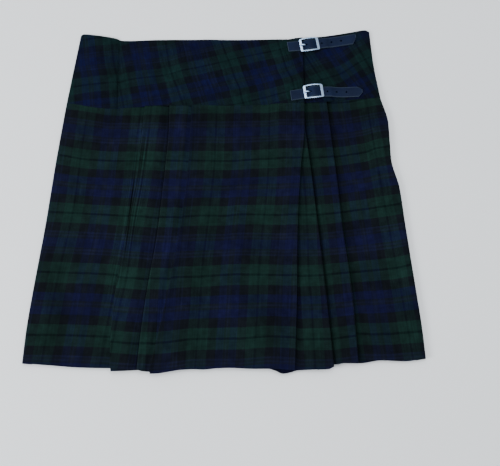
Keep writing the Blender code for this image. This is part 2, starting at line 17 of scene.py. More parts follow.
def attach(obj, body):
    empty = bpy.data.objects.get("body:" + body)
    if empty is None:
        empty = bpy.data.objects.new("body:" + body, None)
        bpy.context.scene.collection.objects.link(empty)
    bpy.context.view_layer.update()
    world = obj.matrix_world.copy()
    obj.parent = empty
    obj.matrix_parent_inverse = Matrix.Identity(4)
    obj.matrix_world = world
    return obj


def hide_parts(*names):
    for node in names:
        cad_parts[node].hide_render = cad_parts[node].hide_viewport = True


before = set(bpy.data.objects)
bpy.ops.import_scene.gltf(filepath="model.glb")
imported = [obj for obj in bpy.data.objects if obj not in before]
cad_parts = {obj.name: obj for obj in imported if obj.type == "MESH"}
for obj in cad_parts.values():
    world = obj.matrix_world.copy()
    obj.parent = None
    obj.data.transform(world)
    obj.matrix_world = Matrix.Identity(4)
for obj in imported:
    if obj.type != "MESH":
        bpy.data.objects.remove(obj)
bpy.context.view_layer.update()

bl_info = {
    "name": "Yoked tartan kilt",
    "version": (1, 0, 0),
    "blender": (4, 5, 0),
    "location": "3D View > Sidebar > Kilt",
    "description": "The cloth, straps, buckles and stitches of a kilt that lies flat, and its stage",
    "category": "Object",
}

MM = 0.001

# The plies, as the solids have them
PLY = 1.5  # from ply to ply
FLOOR_PLY = 0.6
FRONT = [FLOOR_PLY + PLY * (3 + i) for i in range(3)]
PLEAT_DEPTH = 22.0
OVER_EARLY = 11.0
BACK_PLEATS = 12
BACK_PLEAT_DEPTH = 24.0
SIDE_TAB = 12.0
STRIP_RAMP = 11.0
UNDER_RAMP = 18.0
OVER_RAMP = 26.0
BACK_RAMP = 7.0
UNDER_YOKE_RAMPS = ((60.0, 25.0, 2), (150.0, 22.0, -2))
OVER_YOKE_RAMPS = ((56.0, 25.0, 2), (146.0, 22.0, -2), (-138.0, 20.0, 2), (-26.0, 27.0, -1))
UNDER_END_RAMP = 25.0
YOKE_RISE = 1.3
# Columns: x, half-width, depth
SEAM_DIPS = ((-124.0, 7.0, 1.6), (-86.5, 4.0, 2.0), (-54.0, 3.5, 2.0), (155.0, 7.0, 1.6))

# How long the mesh takes a skirt and a yoke to be, and how far in the row beside a raw edge lies
SKIRT_LENGTH, YOKE_LENGTH = 380.0, 105.0
EDGE_ROW = 1.2

# Straps and buckles
LEATHER = 1.8
STRAP_WIDTH = 16.0
STRAP_CROWN = 0.18
GAP = 0.3  # between two layers
CHAPE_LEATHER = 1.2
CHAPE_WIDTH = 13.0
CHAPE_REACH = 21.0
BEND_REACH = 18.0
BAR_RADIUS = 1.0
BAR_PLAY = 0.9
HUMP_REACH = 10.5
BUCKLE_LONG, BUCKLE_WIDE = 28.4, 23.2
WINDOW_LONG, WINDOW_WIDE = 21.2, 19.3
BUCKLE_THICK = 1.7
BUCKLE_CORNER = 2.0
BUCKLE_ARCH = 2.0
BUCKLE_BARREL = 0.10
PIN_RADIUS = 0.75
STRAP_HOLE_RADIUS = 1.5
PIN_SLOT = -5.4
# The pin's line after its hook. Columns: x, height over the bar.
PIN_RISE = ((-3.3, 0.4), (-4.2, 0.9))
# The rest of it. Columns: x, height over its place on the frame.
PIN_LINE = (
    (-5.2, -2.9), (-6.2, -1.6), (-7.3, -0.7), (-8.6, -0.1), (-9.6, 0.0), (-10.8, 0.0),
    (-12.0, -0.1), (-13.0, -0.3), (-13.6, -0.5),
)

# Where the fold lines and edges run. Columns: x at these shares of the way from seam to hem.
DOWN = (0, 0.11, 0.25, 0.37, 0.5, 0.75, 0.9, 1)
LINES = {
    "left": (-232.8, -236.9, -241.7, -245.2, -249, -258.5, -263, -264.3),
    "pleat_1": (-118, -120.3, -123, -128.5, -134.8, -147, -149.5, -148.3),
    "pleat_2": (-82, -81.9, -85, -88.4, -92.4, -105, -110.6, -112.9),
    "inner_2": (-60, -60, -64.4, -68.6, -74, -89, -99.1, -106),
    "pleat_3": (-50, -50.5, -53, -56.6, -62, -77.5, -89, -97),
    "under_end": (-24, -24.5, -27, -30.6, -36, -51.5, -63, -71),
    "opening": (114, 113.2, 107.3, 103.5, 100.5, 97.7, 95.2, 93.4),
    "pleat_4": (109.5, 114.4, 120.4, 124.8, 129.3, 137.5, 142, 145),
    "pleat_5": (146.6, 150.2, 155.1, 159.1, 162.7, 172.4, 175.3, 177),
    "right": (226, 235.6, 236.4, 246, 250.3, 259.2, 264.4, 266.4),
}
YOKE_LINES = {  # at the waist, halfway and at the seam
    "left": (-219.8, -226.4, -232.8),
    "side_seam": (-161, -159.5, -158),
    "under_end": (-24, -24, -24),
    "opening": (114, 114, 114),
    "right": (215, 218.8, 226),
}
# How far up or down each edge lies. Rows: x, y.
EDGES = {
    "waist": (
        (-219, 251), (-215.6, 253.2), (-197.4, 251.4), (-179.2, 248.5), (-167.1, 245.8),
        (-154.8, 242.1), (-145, 241.5), (-124.8, 242.4), (-100.9, 243.3), (-46.8, 243.5),
        (13.2, 242.1), (73.3, 243.3), (91.3, 243.5), (106, 246.2), (139, 248.5), (166, 252.4),
        (188, 256.5), (209, 260.1), (214.5, 257),
    ),
    "waist_hidden": ((-217, 243), (-161, 236.5), (91, 237.5), (166, 246), (213, 250)),
    "seam": (
        (-232.8, 136.4), (-167, 127), (-135, 129), (-83, 131), (-27, 131),
        (35, 132), (92, 134), (148, 137.5), (187, 142), (226, 145.7),
    ),
    "hem_back": ((-251, -239.3), (-155, -243.5), (100, -243), (145, -240), (251, -233.5)),
    "hem_left": ((-264, -242.3), (-232, -244.8), (-185, -248.1), (-155, -248.7), (-120, -248.8)),
    "hem_strip_left": ((-147, -253.2), (-128, -252.6), (-112, -251.2), (-90, -250)),
    "hem_strip_middle": ((-112, -251.4), (-105, -253.2), (-97, -253.4), (-75, -253.4)),
    "hem_over": (
        (-97, -256.6), (-87, -256.3), (-67, -253.2), (-55, -251.3), (-38, -250.4),
        (-27, -250.9), (-8, -249.2), (9.5, -248.8), (35, -249.8), (68, -250.1), (93.5, -251.6),
    ),
    "hem_under": (
        (-71, -245), (40, -245), (68, -252), (78, -256), (88, -254.4),
        (97, -251.6), (137, -250.4), (145, -246.9),
    ),
    "hem_strip_right": ((120, -242), (149, -243.9), (161, -241.8), (177, -242.9)),
    "hem_right": ((150, -242), (178, -242.5), (207, -238.6), (238, -239.7), (265.8, -235.9)),
}
# Soft waves that stand up from the over-apron near its hem. Columns: x at the hem, half-width,
# height, share of the way down where it starts.
WAVES = (
    (-64.0, 30.0, 1.6, 0.45),
    (10.0, 26.0, 1.3, 0.60),
    (62.0, 24.0, 1.2, 0.55),
)
WAVE_LEAN = 24.0
# Slight unevenness of cloth that has been worn and folded. Columns: length across and along, place in
# the noise, height.
RIPPLES = ((17.0, 95.0, 3.1, 0.42), (46.0, 60.0, 7.7, 0.5), (7.0, 40.0, 1.3, 0.1))
RIPPLE_RISE = 0.3
SIDE_CREASE_X, SIDE_CREASE_DEPTH = -158.0, 1.5

# How much a fold stands up off the plies below it, and how far back from its edge
ROLLS = {
    "pleat_1": (0.7, 5.0),
    "pleat_2": (1.5, 7.0),
    "pleat_3": (0.9, 9.0),
    "opening": (0.8, 5.0),
    "pleat_4": (1.0, 6.0),
    "pleat_5": (1.2, 6.0),
}

Strap = namedtuple("Strap", "name x y turn left_turn right_turn left right tip point holes")
STRAPS = (
    Strap("upper", 123.6, 231.9, 8.6, 4.1, 10.0, 32.0, 72.0, 6.5, 4.5, (19.2, 34.0, 48.8)),
    Strap("lower", 127.4, 151.5, 6.5, 10.0, 2.3, 33.5, 72.0, 6.5, 1.0, (20.4, 34.2, 48.6)),
)

# The sett, in threads from the middle of one blue to the middle of the next, where it turns back
SETT = (
    ("blue", 8), ("dusk", 3), ("pale", 3), ("dusk", 3), ("pale", 3), ("black", 15), ("green", 16),
    ("deep", 4), ("green", 16), ("black", 16), ("blue", 14), ("dusk", 3), ("pale", 2),
)
HALF_SETT = sum(threads for colour, threads in SETT)

# How the cloth lies in each ply: lines that one warp thread follows, and lines that one weft thread
# follows. Each has the thread's number and its places, y and x for a warp thread, x and y for a weft.
# Past the lines, a thread is as wide as its pitch.
WARP_PITCH, WEFT_PITCH = 0.729, 0.805
Grain = namedtuple("Grain", "warps wefts warp_pitch weft_pitch", defaults=(WARP_PITCH, WEFT_PITCH))
LEFT_WEFTS = (
    (53, ((-250, -205), (-200, -205.8), (-155, -207.5))),
    (159, ((-253, -118), (-200, -120), (-170, -121), (-150, -122.5))),
    (265, ((-240, -32.5), (-200, -34.3), (-180, -35.8), (-160, -37), (-140, -38))),
    (371, ((-230, 53), (-200, 47.5), (-160, 45), (-130, 44.6))),
    (477, ((-230, 141), (-200, 137), (-165, 130.5), (-120, 130.5))),
)
MIDDLE_WEFTS = (
    (53, (
        (-145, -215), (-120, -216.8), (-100, -216.8), (-80, -216), (-60, -213.8),
        (-40, -211), (0, -210.5), (20, -210.5), (40, -208.8), (60, -207.5),
        (80, -208), (94, -209), (100, -211.3), (140, -211.3), (150, -210), (170, -207.5),
    )),
    (159, (
        (-140, -126.7), (-120, -128), (-100, -128.5), (-75, -128), (-60, -126.5),
        (-40, -126), (-20, -124.5), (0, -123), (20, -122.3), (60, -123), (98, -124),
        (100, -124.5), (130, -124), (140, -122.5), (155, -121.3),
    )),
    (265, (
        (-120, -39.3), (-105, -40.5), (-90, -41), (-80, -41), (-60, -40.5),
        (-40, -39), (-20, -38.5), (0, -38.5), (20, -36.5), (40, -36.5), (60, -37),
        (80, -37.5), (110, -37.5), (130, -37), (145, -36), (158, -34.5),
    )),
    (371, (
        (-120, 44.3), (-100, 43.7), (-80, 44), (0, 44), (60, 47.5), (80, 48),
        (120, 48), (140, 49.3), (150, 50),
    )),
    (477, ((-165, 129.5), (-100, 130.5), (20, 134), (60, 134), (90, 135.5), (125, 135.5))),
)
RIGHT_WEFTS = (
    (53, ((180, -203.5), (200, -204.3), (220, -203.8), (235, -202.5), (257, -201))),
    (159, (
        (175, -119), (190, -117.5), (205, -116), (220, -114.5), (235, -112.5),
        (250, -109),
    )),
    (265, ((170, -31.8), (185, -29.3), (200, -27.5), (215, -25), (240, -21))),
    (371, ((160, 51.8), (180, 55), (200, 58.5), (215, 64.5), (228, 66.8))),
    (477, ((125, 135.5), (170, 137), (210, 144.5), (225, 147))),
)
UNDER_YOKE_WEFT = (
    (112, 160), (120, 164), (130, 169), (140, 174), (148, 177), (162, 182),
    (175, 189), (185, 196), (195, 203), (207, 210), (215, 214),
)
GRAINS = {
    "left_side": Grain(
        (
            (-583, ((-208, -235), (-122, -225), (-33, -211.5), (49, -206))),
            (-477, (
                (-205, -156), (-125, -146), (-85, -140), (-45, -135.5), (10, -131),
                (47, -128.7),
            )),
        ),
        LEFT_WEFTS,
    ),
    "left_strip": Grain(
        (
            (-265, (
                (-212, -145.5), (-175, -140.5), (-125, -131.6), (-85, -128), (-45, -124),
                (10, -117), (47, -114),
            )),
        ),
        MIDDLE_WEFTS,
    ),
    "middle_strip": Grain(
        ((-106, ((-180, -75), (-127, -73.6), (-35, -67.2), (10, -65.6), (90, -60.6))),),
        MIDDLE_WEFTS,
    ),
    "over_apron": Grain(
        (
            (53, (
                (-215, -35), (-180, -33), (-159, -31.8), (-115, -30), (-80, -26.7),
                (-35, -22.2), (-13, -20), (10, -17.8), (47, -15.4), (90, -14.4),
            )),
        ),
        MIDDLE_WEFTS,
    ),
    "under_apron": Grain(
        ((265, ((-205, 118.5), (-160, 117), (-115, 114.5), (-29, 113), (47, 108.6))),),
        MIDDLE_WEFTS,
    ),
    "right_strip": Grain(
        (
            (477, (
                (-210, 140), (-160, 135.8), (-115, 132.4), (-29, 126.5), (10, 123.6),
                (47, 119.7),
            )),
        ),
        MIDDLE_WEFTS,
    ),
    "right_side": Grain(
        (
            (742, (
                (-204, 208), (-114, 198), (-29, 188), (3, 184.5), (21, 182), (57, 177),
            )),
            (795, ((-204, 245.5), (-114, 235), (-29, 224), (13, 219), (57, 214))),
        ),
        RIGHT_WEFTS,
    ),
    "yoke_left": Grain(
        ((159, ((159, -158.6), (176, -160.7), (199, -166.4), (226, -170.7))),),
        ((159, ((-223.6, 163.4), (-188, 169), (-155, 172))),),
        0.74, 0.74,
    ),
    "yoke_over": Grain(
        (
            (106, ((150, -112), (235, -131))),
            (159, ((140.6, -65), (165, -73.6), (183.4, -80), (205, -85.7), (230.6, -90))),
            (265, (
                (136, 25), (145, 22.5), (158.7, 20), (175, 13.3), (195, 7.5), (222, -2.5),
            )),
            (371, ((162, 99), (175, 96.7), (188.7, 90), (207, 85), (232, 78.3))),
        ),
        (
            (53, (
                (-150, 98), (-100, 106.5), (-60, 116), (-20, 126), (25, 136),
                (46, 141.5), (67, 147), (85, 151.5), (100, 157), (113, 163),
            )),
            (159, (
                (-155, 172), (-135, 177), (-113.6, 179), (-99, 181), (-83.6, 184),
                (-63.6, 191), (-42, 195.6), (-20.7, 200.6), (1.7, 207), (20, 212),
                (46.7, 218), (80, 226), (114, 240),
            )),
        ),
        0.78, 0.71,
    ),
    "yoke_under": Grain(
        (
            (53, (
                (150, 152), (168, 143), (181, 136), (198, 127), (215, 118), (238, 108),
            )),
            (106, (
                (145, 208), (153, 203), (170, 193), (194, 178), (215, 165), (240, 152),
            )),
            (159, ((175, 222), (193, 214), (208, 207), (225, 199), (240, 192))),
        ),
        ((159, UNDER_YOKE_WEFT),),
        0.86, 0.806,
    ),
    "back": Grain(
        ((53, ((-250, 0), (250, 0))),),
        ((53, ((-250, -208), (250, -208))),),
    ),
}


# --- reading the tables ---


def eased(share):
    """Smooth step from 0 to 1."""
    share = min(max(share, 0.0), 1.0)
    return share * share * (3.0 - 2.0 * share)


def read(rows, key):
    """The value at a key, on a smooth curve through the rows that never overshoots them."""
    if len(rows) == 1:
        return rows[0][1]
    keys = [row[0] for row in rows]
    values = [row[1] for row in rows]
    slopes = [(b - a) / (q - p) for a, b, p, q in zip(values, values[1:], keys, keys[1:])]
    tangents = [slopes[0]]
    for before, after in zip(slopes, slopes[1:]):
        turns = before * after <= 0.0
        tangents.append(0.0 if turns else 2.0 * before * after / (before + after))
    tangents.append(slopes[-1])
    if key <= keys[0]:
        return values[0] + tangents[0] * (key - keys[0])
    if key >= keys[-1]:
        return values[-1] + tangents[-1] * (key - keys[-1])
    i = max(n for n in range(len(slopes)) if keys[n] <= key)
    width = keys[i + 1] - keys[i]
    u = (key - keys[i]) / width
    start = (1.0 + 2.0 * u) * (1.0 - u) ** 2 * values[i] + u * (1.0 - u) ** 2 * width * tangents[i]
    finish = u * u * (3.0 - 2.0 * u) * values[i + 1] + u * u * (u - 1.0) * width * tangents[i + 1]
    return start + finish


def line_x(line, down):
    return read(list(zip(DOWN, LINES[line])), down)


def on_skirt(line, past=0.0):
    """The x of a place a little past a skirt line, as a function of the way down."""
    return lambda down: line_x(line, down) + past


def on_yoke(line, past=0.0):
    places = tuple(zip((0.0, 0.5, 1.0), YOKE_LINES[line]))
    return lambda down: read(places, down) + past


def back_pleat(number, past=0.0):
    """A place on the back's pleat lines, which share out its width."""
    share = number / BACK_PLEATS

    def place(down):
        left = line_x("left", down) + SIDE_TAB + 0.8
        right = line_x("right", down) - SIDE_TAB - 0.8
        return left + (right - left) * share + past

    return place


# --- how high each ply lies ---


def level(height):
    return lambda x, down: height


def roll(line, x, down):
    """How much a fold stands up, near its edge."""
    height, reach = ROLLS[line]
    return height * math.exp(-(((x - line_x(line, down)) / reach) ** 2))


def sinking(x, start, end):
    """A strip between two folds sinks from the stack that it comes from to the ply below."""
    return FRONT[2] - 2.0 * PLY * eased((x - start) / (end - start))


def strip_left_height(x, down):
    height = sinking(x, line_x("pleat_1", down) + PLEAT_DEPTH, line_x("pleat_2", down) - 2.0)
    return height + roll("pleat_1", x, down)


def strip_middle_height(x, down):
    height = sinking(x, line_x("inner_2", down), line_x("pleat_3", down) - 2.0)
    return height + roll("pleat_2", x, down)


def strip_right_height(x, down):
    start = line_x("pleat_4", down)
    return FRONT[0] + 2.0 * PLY * eased((x - start) / STRIP_RAMP) + roll("pleat_5", x, down)


def under_apron_height(x, down):
    """The under-apron lies on the back and climbs onto its own pleats at the right."""
    stack = line_x("pleat_4", down) - PLEAT_DEPTH - 2.0
    return FRONT[0] + 2.0 * PLY * eased((x - stack + UNDER_RAMP) / UNDER_RAMP)


def rolled_under_apron_height(x, down):
    return under_apron_height(x, down) + roll("pleat_4", x, down)


def wave_height(x, down):
    total = 0.0
    for foot, half_width, height, start in WAVES:
        middle = foot + WAVE_LEAN * (1.0 - down)
        across = max(0.0, 1.0 - ((x - middle) / half_width) ** 2)
        total += height * across**2 * eased((down - start) / (1.0 - start))
    return total


def over_apron_height(x, down):
    """The over-apron follows the under-apron, and climbs onto its own pleats at the left."""
    stack = line_x("pleat_3", down) + PLEAT_DEPTH + 2.0
    climb = PLY * (1.0 - eased((x - stack) / OVER_RAMP))
    below = under_apron_height(x + OVER_EARLY, down)
    rolled = roll("pleat_3", x, down) + roll("opening", x, down)
    return below + PLY + climb + wave_height(x, down) + rolled


def back_height(number):
    """A back ply comes from under the pleat at this line down to the floor, just past its fold."""
    top = FLOOR_PLY + PLY * 2.0

    def height(x, down):
        past = x - back_pleat(number)(down)
        return top - (top - FLOOR_PLY) * eased((past - 1.0) / BACK_RAMP)

    return height


def yoke_height(waist, ramps, x, down):
    """The yoke rises from the waist to the pleats that its seam lies on."""
    plies = sum(plies * eased((x - start) / length) for start, length, plies in ramps)
    return waist + (FRONT[0] + PLY * plies - waist) * down**YOKE_RISE


def under_yoke_height(x, down):
    return yoke_height(FLOOR_PLY + PLY, UNDER_YOKE_RAMPS, x, down)


def over_yoke_height(x, down):
    """It lies on the under-apron's yoke, past the end of which it sinks to the back."""
    below = 1.0 + eased((x - YOKE_LINES["under_end"][0] + UNDER_END_RAMP) / UNDER_END_RAMP)
    return yoke_height(FLOOR_PLY + PLY * below, OVER_YOKE_RAMPS, x, down)


def dipped(height):
    """The yoke's cloth, drawn down at its seam beside the folds that it lies on."""

    def lower(x, down):
        dips = sum(depth * math.exp(-(((x - middle) / reach) ** 2)) for middle, reach, depth in SEAM_DIPS)
        return height(x, down) - dips * eased((down - 0.85) / 0.15)

    return lower


def ripple(x, y, z):
    """How uneven the cloth is. It is less near the floor and dies out under the straps."""
    size = sum(
        height * noise.noise(Vector((x / across, y / along, seed)))
        for across, along, seed, height in RIPPLES
    )
    straps = eased((x - 78.0) / 20.0) * eased((y - 112.0) / 20.0)
    return (size + RIPPLE_RISE) * eased((z - 0.7) / 5.0) * (1.0 - straps)


def side_crease(x, y):
    """The trough along the side seam of the yoke, which fades below the skirt's seam."""
    up = (y - 131.0) / 105.0
    middle = SIDE_CREASE_X - 3.0 * up
    fade = eased((y - 100.0) / 28.0)
    reach = 2.6 if x < middle else 3.6 + 4.0 * max(0.0, up)
    return -SIDE_CREASE_DEPTH * fade * math.exp(-(((x - middle) / reach) ** 2))


# --- the cloth pieces, as paths ---

# A path goes along the cloth, ply after ply. Columns: height, the place where the ply ends, mesh
# column's width, lower edge, how the cloth lies, upper edge. The cloth folds into the next ply where
# that runs back the other way. A ply under a fold has no grain of its own.
Ply = namedtuple("Ply", "height end step bottom grain top", defaults=(None, "seam"))
FINE, PLAIN, COARSE = 2.4, 3.0, 6.0

PATHS = {
    "skirt_over_apron": (
        on_skirt("left", SIDE_TAB),
        (
            Ply(level(FLOOR_PLY), on_skirt("left"), COARSE, "hem_left"),
            Ply(level(FRONT[0]), on_skirt("pleat_1", PLEAT_DEPTH), FINE, "hem_left", "left_side"),
            Ply(level(FRONT[1]), on_skirt("pleat_1"), COARSE, "hem_left"),
            Ply(strip_left_height, on_skirt("inner_2"), FINE, "hem_strip_left", "left_strip"),
            Ply(level(FRONT[1]), on_skirt("pleat_2"), COARSE, "hem_strip_left"),
            Ply(
                strip_middle_height, on_skirt("pleat_3", PLEAT_DEPTH), FINE,
                "hem_strip_middle", "middle_strip",
            ),
            Ply(level(FRONT[1]), on_skirt("pleat_3"), COARSE, "hem_strip_middle"),
            Ply(over_apron_height, on_skirt("opening"), FINE, "hem_over", "over_apron"),
        ),
    ),
    "skirt_under_apron": (
        on_skirt("under_end"),
        (
            Ply(rolled_under_apron_height, on_skirt("pleat_4"), FINE, "hem_under", "under_apron"),
            Ply(level(FRONT[1]), on_skirt("pleat_4", -PLEAT_DEPTH), COARSE, "hem_under"),
            Ply(strip_right_height, on_skirt("pleat_5"), FINE, "hem_strip_right", "right_strip"),
            Ply(level(FRONT[1]), on_skirt("pleat_5", -PLEAT_DEPTH), COARSE, "hem_strip_right"),
            Ply(level(FRONT[0]), on_skirt("right"), FINE, "hem_right", "right_side"),
            Ply(level(FLOOR_PLY), on_skirt("right", -SIDE_TAB), COARSE, "hem_right"),
        ),
    ),
    "yoke_left_side": (
        on_yoke("left", SIDE_TAB),
        (
            Ply(level(FLOOR_PLY), on_yoke("left"), COARSE, "seam", None, "waist"),
            Ply(over_yoke_height, on_yoke("side_seam", -0.03), FINE, "seam", "yoke_left", "waist"),
        ),
    ),
    "yoke_over_apron": (
        on_yoke("side_seam", 0.03),
        (Ply(dipped(over_yoke_height), on_yoke("opening"), FINE, "seam", "yoke_over", "waist"),),
    ),
    "yoke_under_apron": (
        on_yoke("under_end"),
        (
            Ply(under_yoke_height, on_yoke("opening", -1.0), PLAIN, "seam", "yoke_under", "waist_hidden"),
            Ply(dipped(under_yoke_height), on_yoke("right"), FINE, "seam", "yoke_under", "waist"),
            Ply(level(FLOOR_PLY), on_yoke("right", -SIDE_TAB), COARSE, "seam", None, "waist"),
        ),
    ),
    "yoke_back": (
        on_yoke("left", SIDE_TAB + 0.3),
        (Ply(level(FLOOR_PLY), on_yoke("right", -SIDE_TAB - 0.3), COARSE, "seam", "back", "waist_hidden"),),
    ),
}
TURN_STEPS = 8


def back_path():
    """Twelve knife pleats. Each face lies on the floor and folds back twice under the next."""
    lower = level(FLOOR_PLY + PLY)
    plies = [Ply(level(FLOOR_PLY), back_pleat(1), COARSE, "hem_back", "back")]
    for number in range(1, BACK_PLEATS):
        returning = back_pleat(number, -BACK_PLEAT_DEPTH)
        plies.append(Ply(lower, returning, COARSE, "hem_back"))
        plies.append(Ply(back_height(number), back_pleat(number + 1), PLAIN, "hem_back", "back"))
    return back_pleat(0), tuple(plies)


# Painted shade where cloth runs under a fold: the fold's line, which side of it shows, how dark the shade
# is painted there, and how far from the fold that reaches. Below 0 the cloth is painted paler there
# instead: painted light. Keys are the cloth's grains.
PAINTED_FOLD_SHADING = {
    "left_side": (on_skirt("pleat_1"), -1.0, -0.3, 2.5),
    "left_strip": (on_skirt("pleat_2"), -1.0, 0.70, 2.8),
    "middle_strip": (on_skirt("pleat_3"), -1.0, -0.15, 9.0),
    "over_apron": (on_skirt("pleat_3"), 1.0, 0.30, 9.0),
    "under_apron": (on_skirt("opening"), 1.0, 0.50, 3.5),
    "right_strip": (on_skirt("pleat_4"), 1.0, 0.70, 4.5),
    "right_side": (on_skirt("pleat_5"), 1.0, 0.60, 4.5),
    "yoke_under": (on_yoke("opening"), 1.0, 0.55, 3.5),
}

# How rubbed a fold is at the seam and at the hem, where it isn't 1: rubbing, with a painted highlight on
# the fold's edge. Below 0 it is painted shade, darker than the cloth beside it. Keys are the grains of the
# plies that fold over.
FOLD_WEAR_AND_PAINTED_SHADE = {"left_strip": (0.5, -2.0), "over_apron": (-2.0, -2.0)}
# Painted light on the plies that lie highest, away from their folds: they are painted paler where they
# slope away from the lamps
PAINTED_LIGHT_ON_PLIES = {"left_strip": 0.8, "middle_strip": 0.9, "right_side": 0.5}
# The cloth beside a fold is rubbed and also painted paler there: a painted highlight
BESIDE_FOLD = 0.6  # how rubbed the cloth beside a fold is, as a share of the fold

# Painted light and shade of wide soft swells of the cloth: painted paler than the rest where it would
# swell, and painted darker in hollows; the cloth's shape has none of them. The first row is painted shade
# in a band beneath the yoke's seam. Columns: x and y of the middle, half-width, half-length, how much paler
# as a share.
PAINTED_SWELLS = (
    (0.0, 112.0, 600.0, 18.0, -0.17),
    (-222.0, -185.0, 18.0, 75.0, -0.22),
    (-152.0, -95.0, 18.0, 95.0, 0.13),
    (-84.0, -90.0, 18.0, 70.0, 0.18),
    (-48.0, -2.0, 14.0, 34.0, 0.12),
    (-12.0, -108.0, 15.0, 34.0, 0.16),
    (23.0, -75.0, 15.0, 34.0, -0.13),
    (22.0, -225.0, 15.0, 38.0, 0.18),
    (62.0, -190.0, 22.0, 60.0, -0.17),
    (172.0, 75.0, 18.0, 40.0, -0.12),
    (196.0, -188.0, 18.0, 34.0, -0.18),
    (238.0, -60.0, 16.0, 95.0, 0.20),
    (208.0, 50.0, 14.0, 30.0, 0.08),
    (-163.0, 185.0, 14.0, 75.0, -0.19),
    (-48.0, 132.0, 16.0, 24.0, -0.08),
    (195.0, 190.0, 45.0, 90.0, -0.09),
)

# Where the painted light and shade of small lengthways creases crowd beside the first pleat: half-width,
# and shares of the way down
CREASED_HALF_WIDTH = 10.0
CREASED_FROM, CREASED_TO = 0.02, 0.8


# --- building cloth ---


def thread_at(lines, pitch, along, across):
    """Which thread lies at a place: between two known threads, or a thread's width each past them."""
    places = sorted((read(rows, along), number) for number, rows in lines)
    if across <= places[0][0] or len(places) == 1:
        return places[0][1] + (across - places[0][0]) / pitch
    if across >= places[-1][0]:
        return places[-1][1] + (across - places[-1][0]) / pitch
    i = max(n for n in range(len(places) - 1) if places[n][0] <= across)
    (low, first), (high, second) = places[i], places[i + 1]
    return first + (second - first) * (across - low) / (high - low)


def threads_at(grain, x, y):
    return (
        thread_at(grain.warps, grain.warp_pitch, y, x),
        thread_at(grain.wefts, grain.weft_pitch, x, y),
    )


def folds_back(ends, i):
    """Whether the cloth turns round after ply i, rather than running straight on."""
    return i + 1 < len(ends) - 1 and (ends[i + 1] - ends[i]) * (ends[i + 2] - ends[i + 1]) < 0.0


Place = namedtuple("Place", "x z ply owner flat_x wear")


def columns_of(start, plies):
    """How many mesh columns each ply has, enough for its widest row."""
    most = [0] * len(plies)
    for down in DOWN:
        ends = [start(down)] + [ply.end(down) for ply in plies]
        for i, ply in enumerate(plies):
            most[i] = max(most[i], abs(ends[i + 1] - ends[i]) / ply.step)
    return [max(2, round(count)) for count in most]


def path_row(start, plies, columns, thickness, down):
    """The middle line of a cloth at one share of the way down. A place on a fold belongs to the ply
    that has a grain, and its flat x is where it would lie if the fold were opened out."""
    ends = [start(down)] + [ply.end(down) for ply in plies]
    row = []
    begin = ends[0]
    for i, ply in enumerate(plies):
        heading = 1.0 if ends[i + 1] > ends[i] else -1.0
        finish = ends[i + 1]
        folds = folds_back(ends, i)
        over = ply.grain if ply.grain in FOLD_WEAR_AND_PAINTED_SHADE else plies[min(i + 1, len(plies) - 1)].grain
        first, last = FOLD_WEAR_AND_PAINTED_SHADE.get(over, (1.0, 1.0))
        fold_wear_or_shade = first + (last - first) * down
        if folds:
            here, there = ply.height(finish, down), plies[i + 1].height(finish, down)
            radius = abs(there - here) / 2.0
            finish -= heading * (thickness / 2.0 + radius)
        stations = [begin + (finish - begin) * n / columns[i] for n in range(columns[i] + 1)]
        folded = i > 0 and folds_back(ends, i - 1)
        if row and not folded:
            stations = stations[1:]
        for n, x in enumerate(stations):
            beside = (n == 0 and folded) or (folds and n == len(stations) - 1)
            wear = BESIDE_FOLD * fold_wear_or_shade if beside else PAINTED_LIGHT_ON_PLIES.get(ply.grain, 0.0)
            row.append(Place(x, ply.height(x, down), i, i, x, wear))
        if folds:
            low, high = ply.height(finish, down), plies[i + 1].height(finish, down)
            owner = i if ply.grain else i + 1
            for n in range(1, TURN_STEPS):
                angle = math.pi * n / TURN_STEPS
                x = finish + heading * radius * math.sin(angle)
                z = low + (high - low) * (1.0 - math.cos(angle)) / 2.0
                run = angle if owner == i else math.pi - angle
                row.append(Place(x, z, i, owner, finish + heading * radius * run, fold_wear_or_shade))
        begin = finish
    return row


def row_threads(row, plies, ys):
    """The warp and weft thread at each place of a row. Under a fold they run from ply to ply."""
    grains = [plies[place.owner].grain for place in row]
    found = [
        threads_at(GRAINS[grain], place.flat_x, y) if grain else None
        for grain, place, y in zip(grains, row, ys)
    ]
    known = [n for n, threads in enumerate(found) if threads]
    lengths = [0.0]
    for a, b in zip(row, row[1:]):
        lengths.append(lengths[-1] + math.hypot(b.x - a.x, b.z - a.z))
    for n, threads in enumerate(found):
        if threads:
            continue
        before = max((k for k in known if k < n), default=None)
        after = min((k for k in known if k > n), default=None)
        if before is None or after is None:
            near = after if before is None else before
            way = lengths[n] - lengths[near]
            found[n] = (found[near][0] + way / WARP_PITCH, found[near][1])
            continue
        share = (lengths[n] - lengths[before]) / (lengths[after] - lengths[before])
        found[n] = tuple(a + (b - a) * share for a, b in zip(found[before], found[after]))
    return found


def painted_fold_shading_at(grain, x, down):
    """How far a place is from the fold over it, in reaches of its painted shade, and how dark that painted
    shade is.
    """
    if grain not in PAINTED_FOLD_SHADING:
        return 9.0, 0.0
    line, side, depth, reach = PAINTED_FOLD_SHADING[grain]
    return side * (x - line(down)) / reach, depth


def swell(x, y):
    """How much paler the cloth is painted at a place: painted light where it would swell, painted shade
    where it would sink.
    """
    return sum(
        paler * math.exp(-(((x - at_x) / wide) ** 2) - ((y - at_y) / long) ** 2)
        for at_x, at_y, wide, long, paler in PAINTED_SWELLS
    )


def creased(grain, x, down):
    """How strongly the light and shade of small lengthways creases are painted on the cloth at a place."""
    if grain not in ("left_side", "left_strip"):
        return 0.0
    beside = (x - line_x("pleat_1", down)) / CREASED_HALF_WIDTH
    ends = eased((down - CREASED_FROM) / 0.1) * eased((CREASED_TO - down) / 0.25)
    return math.exp(-(beside**2)) * ends


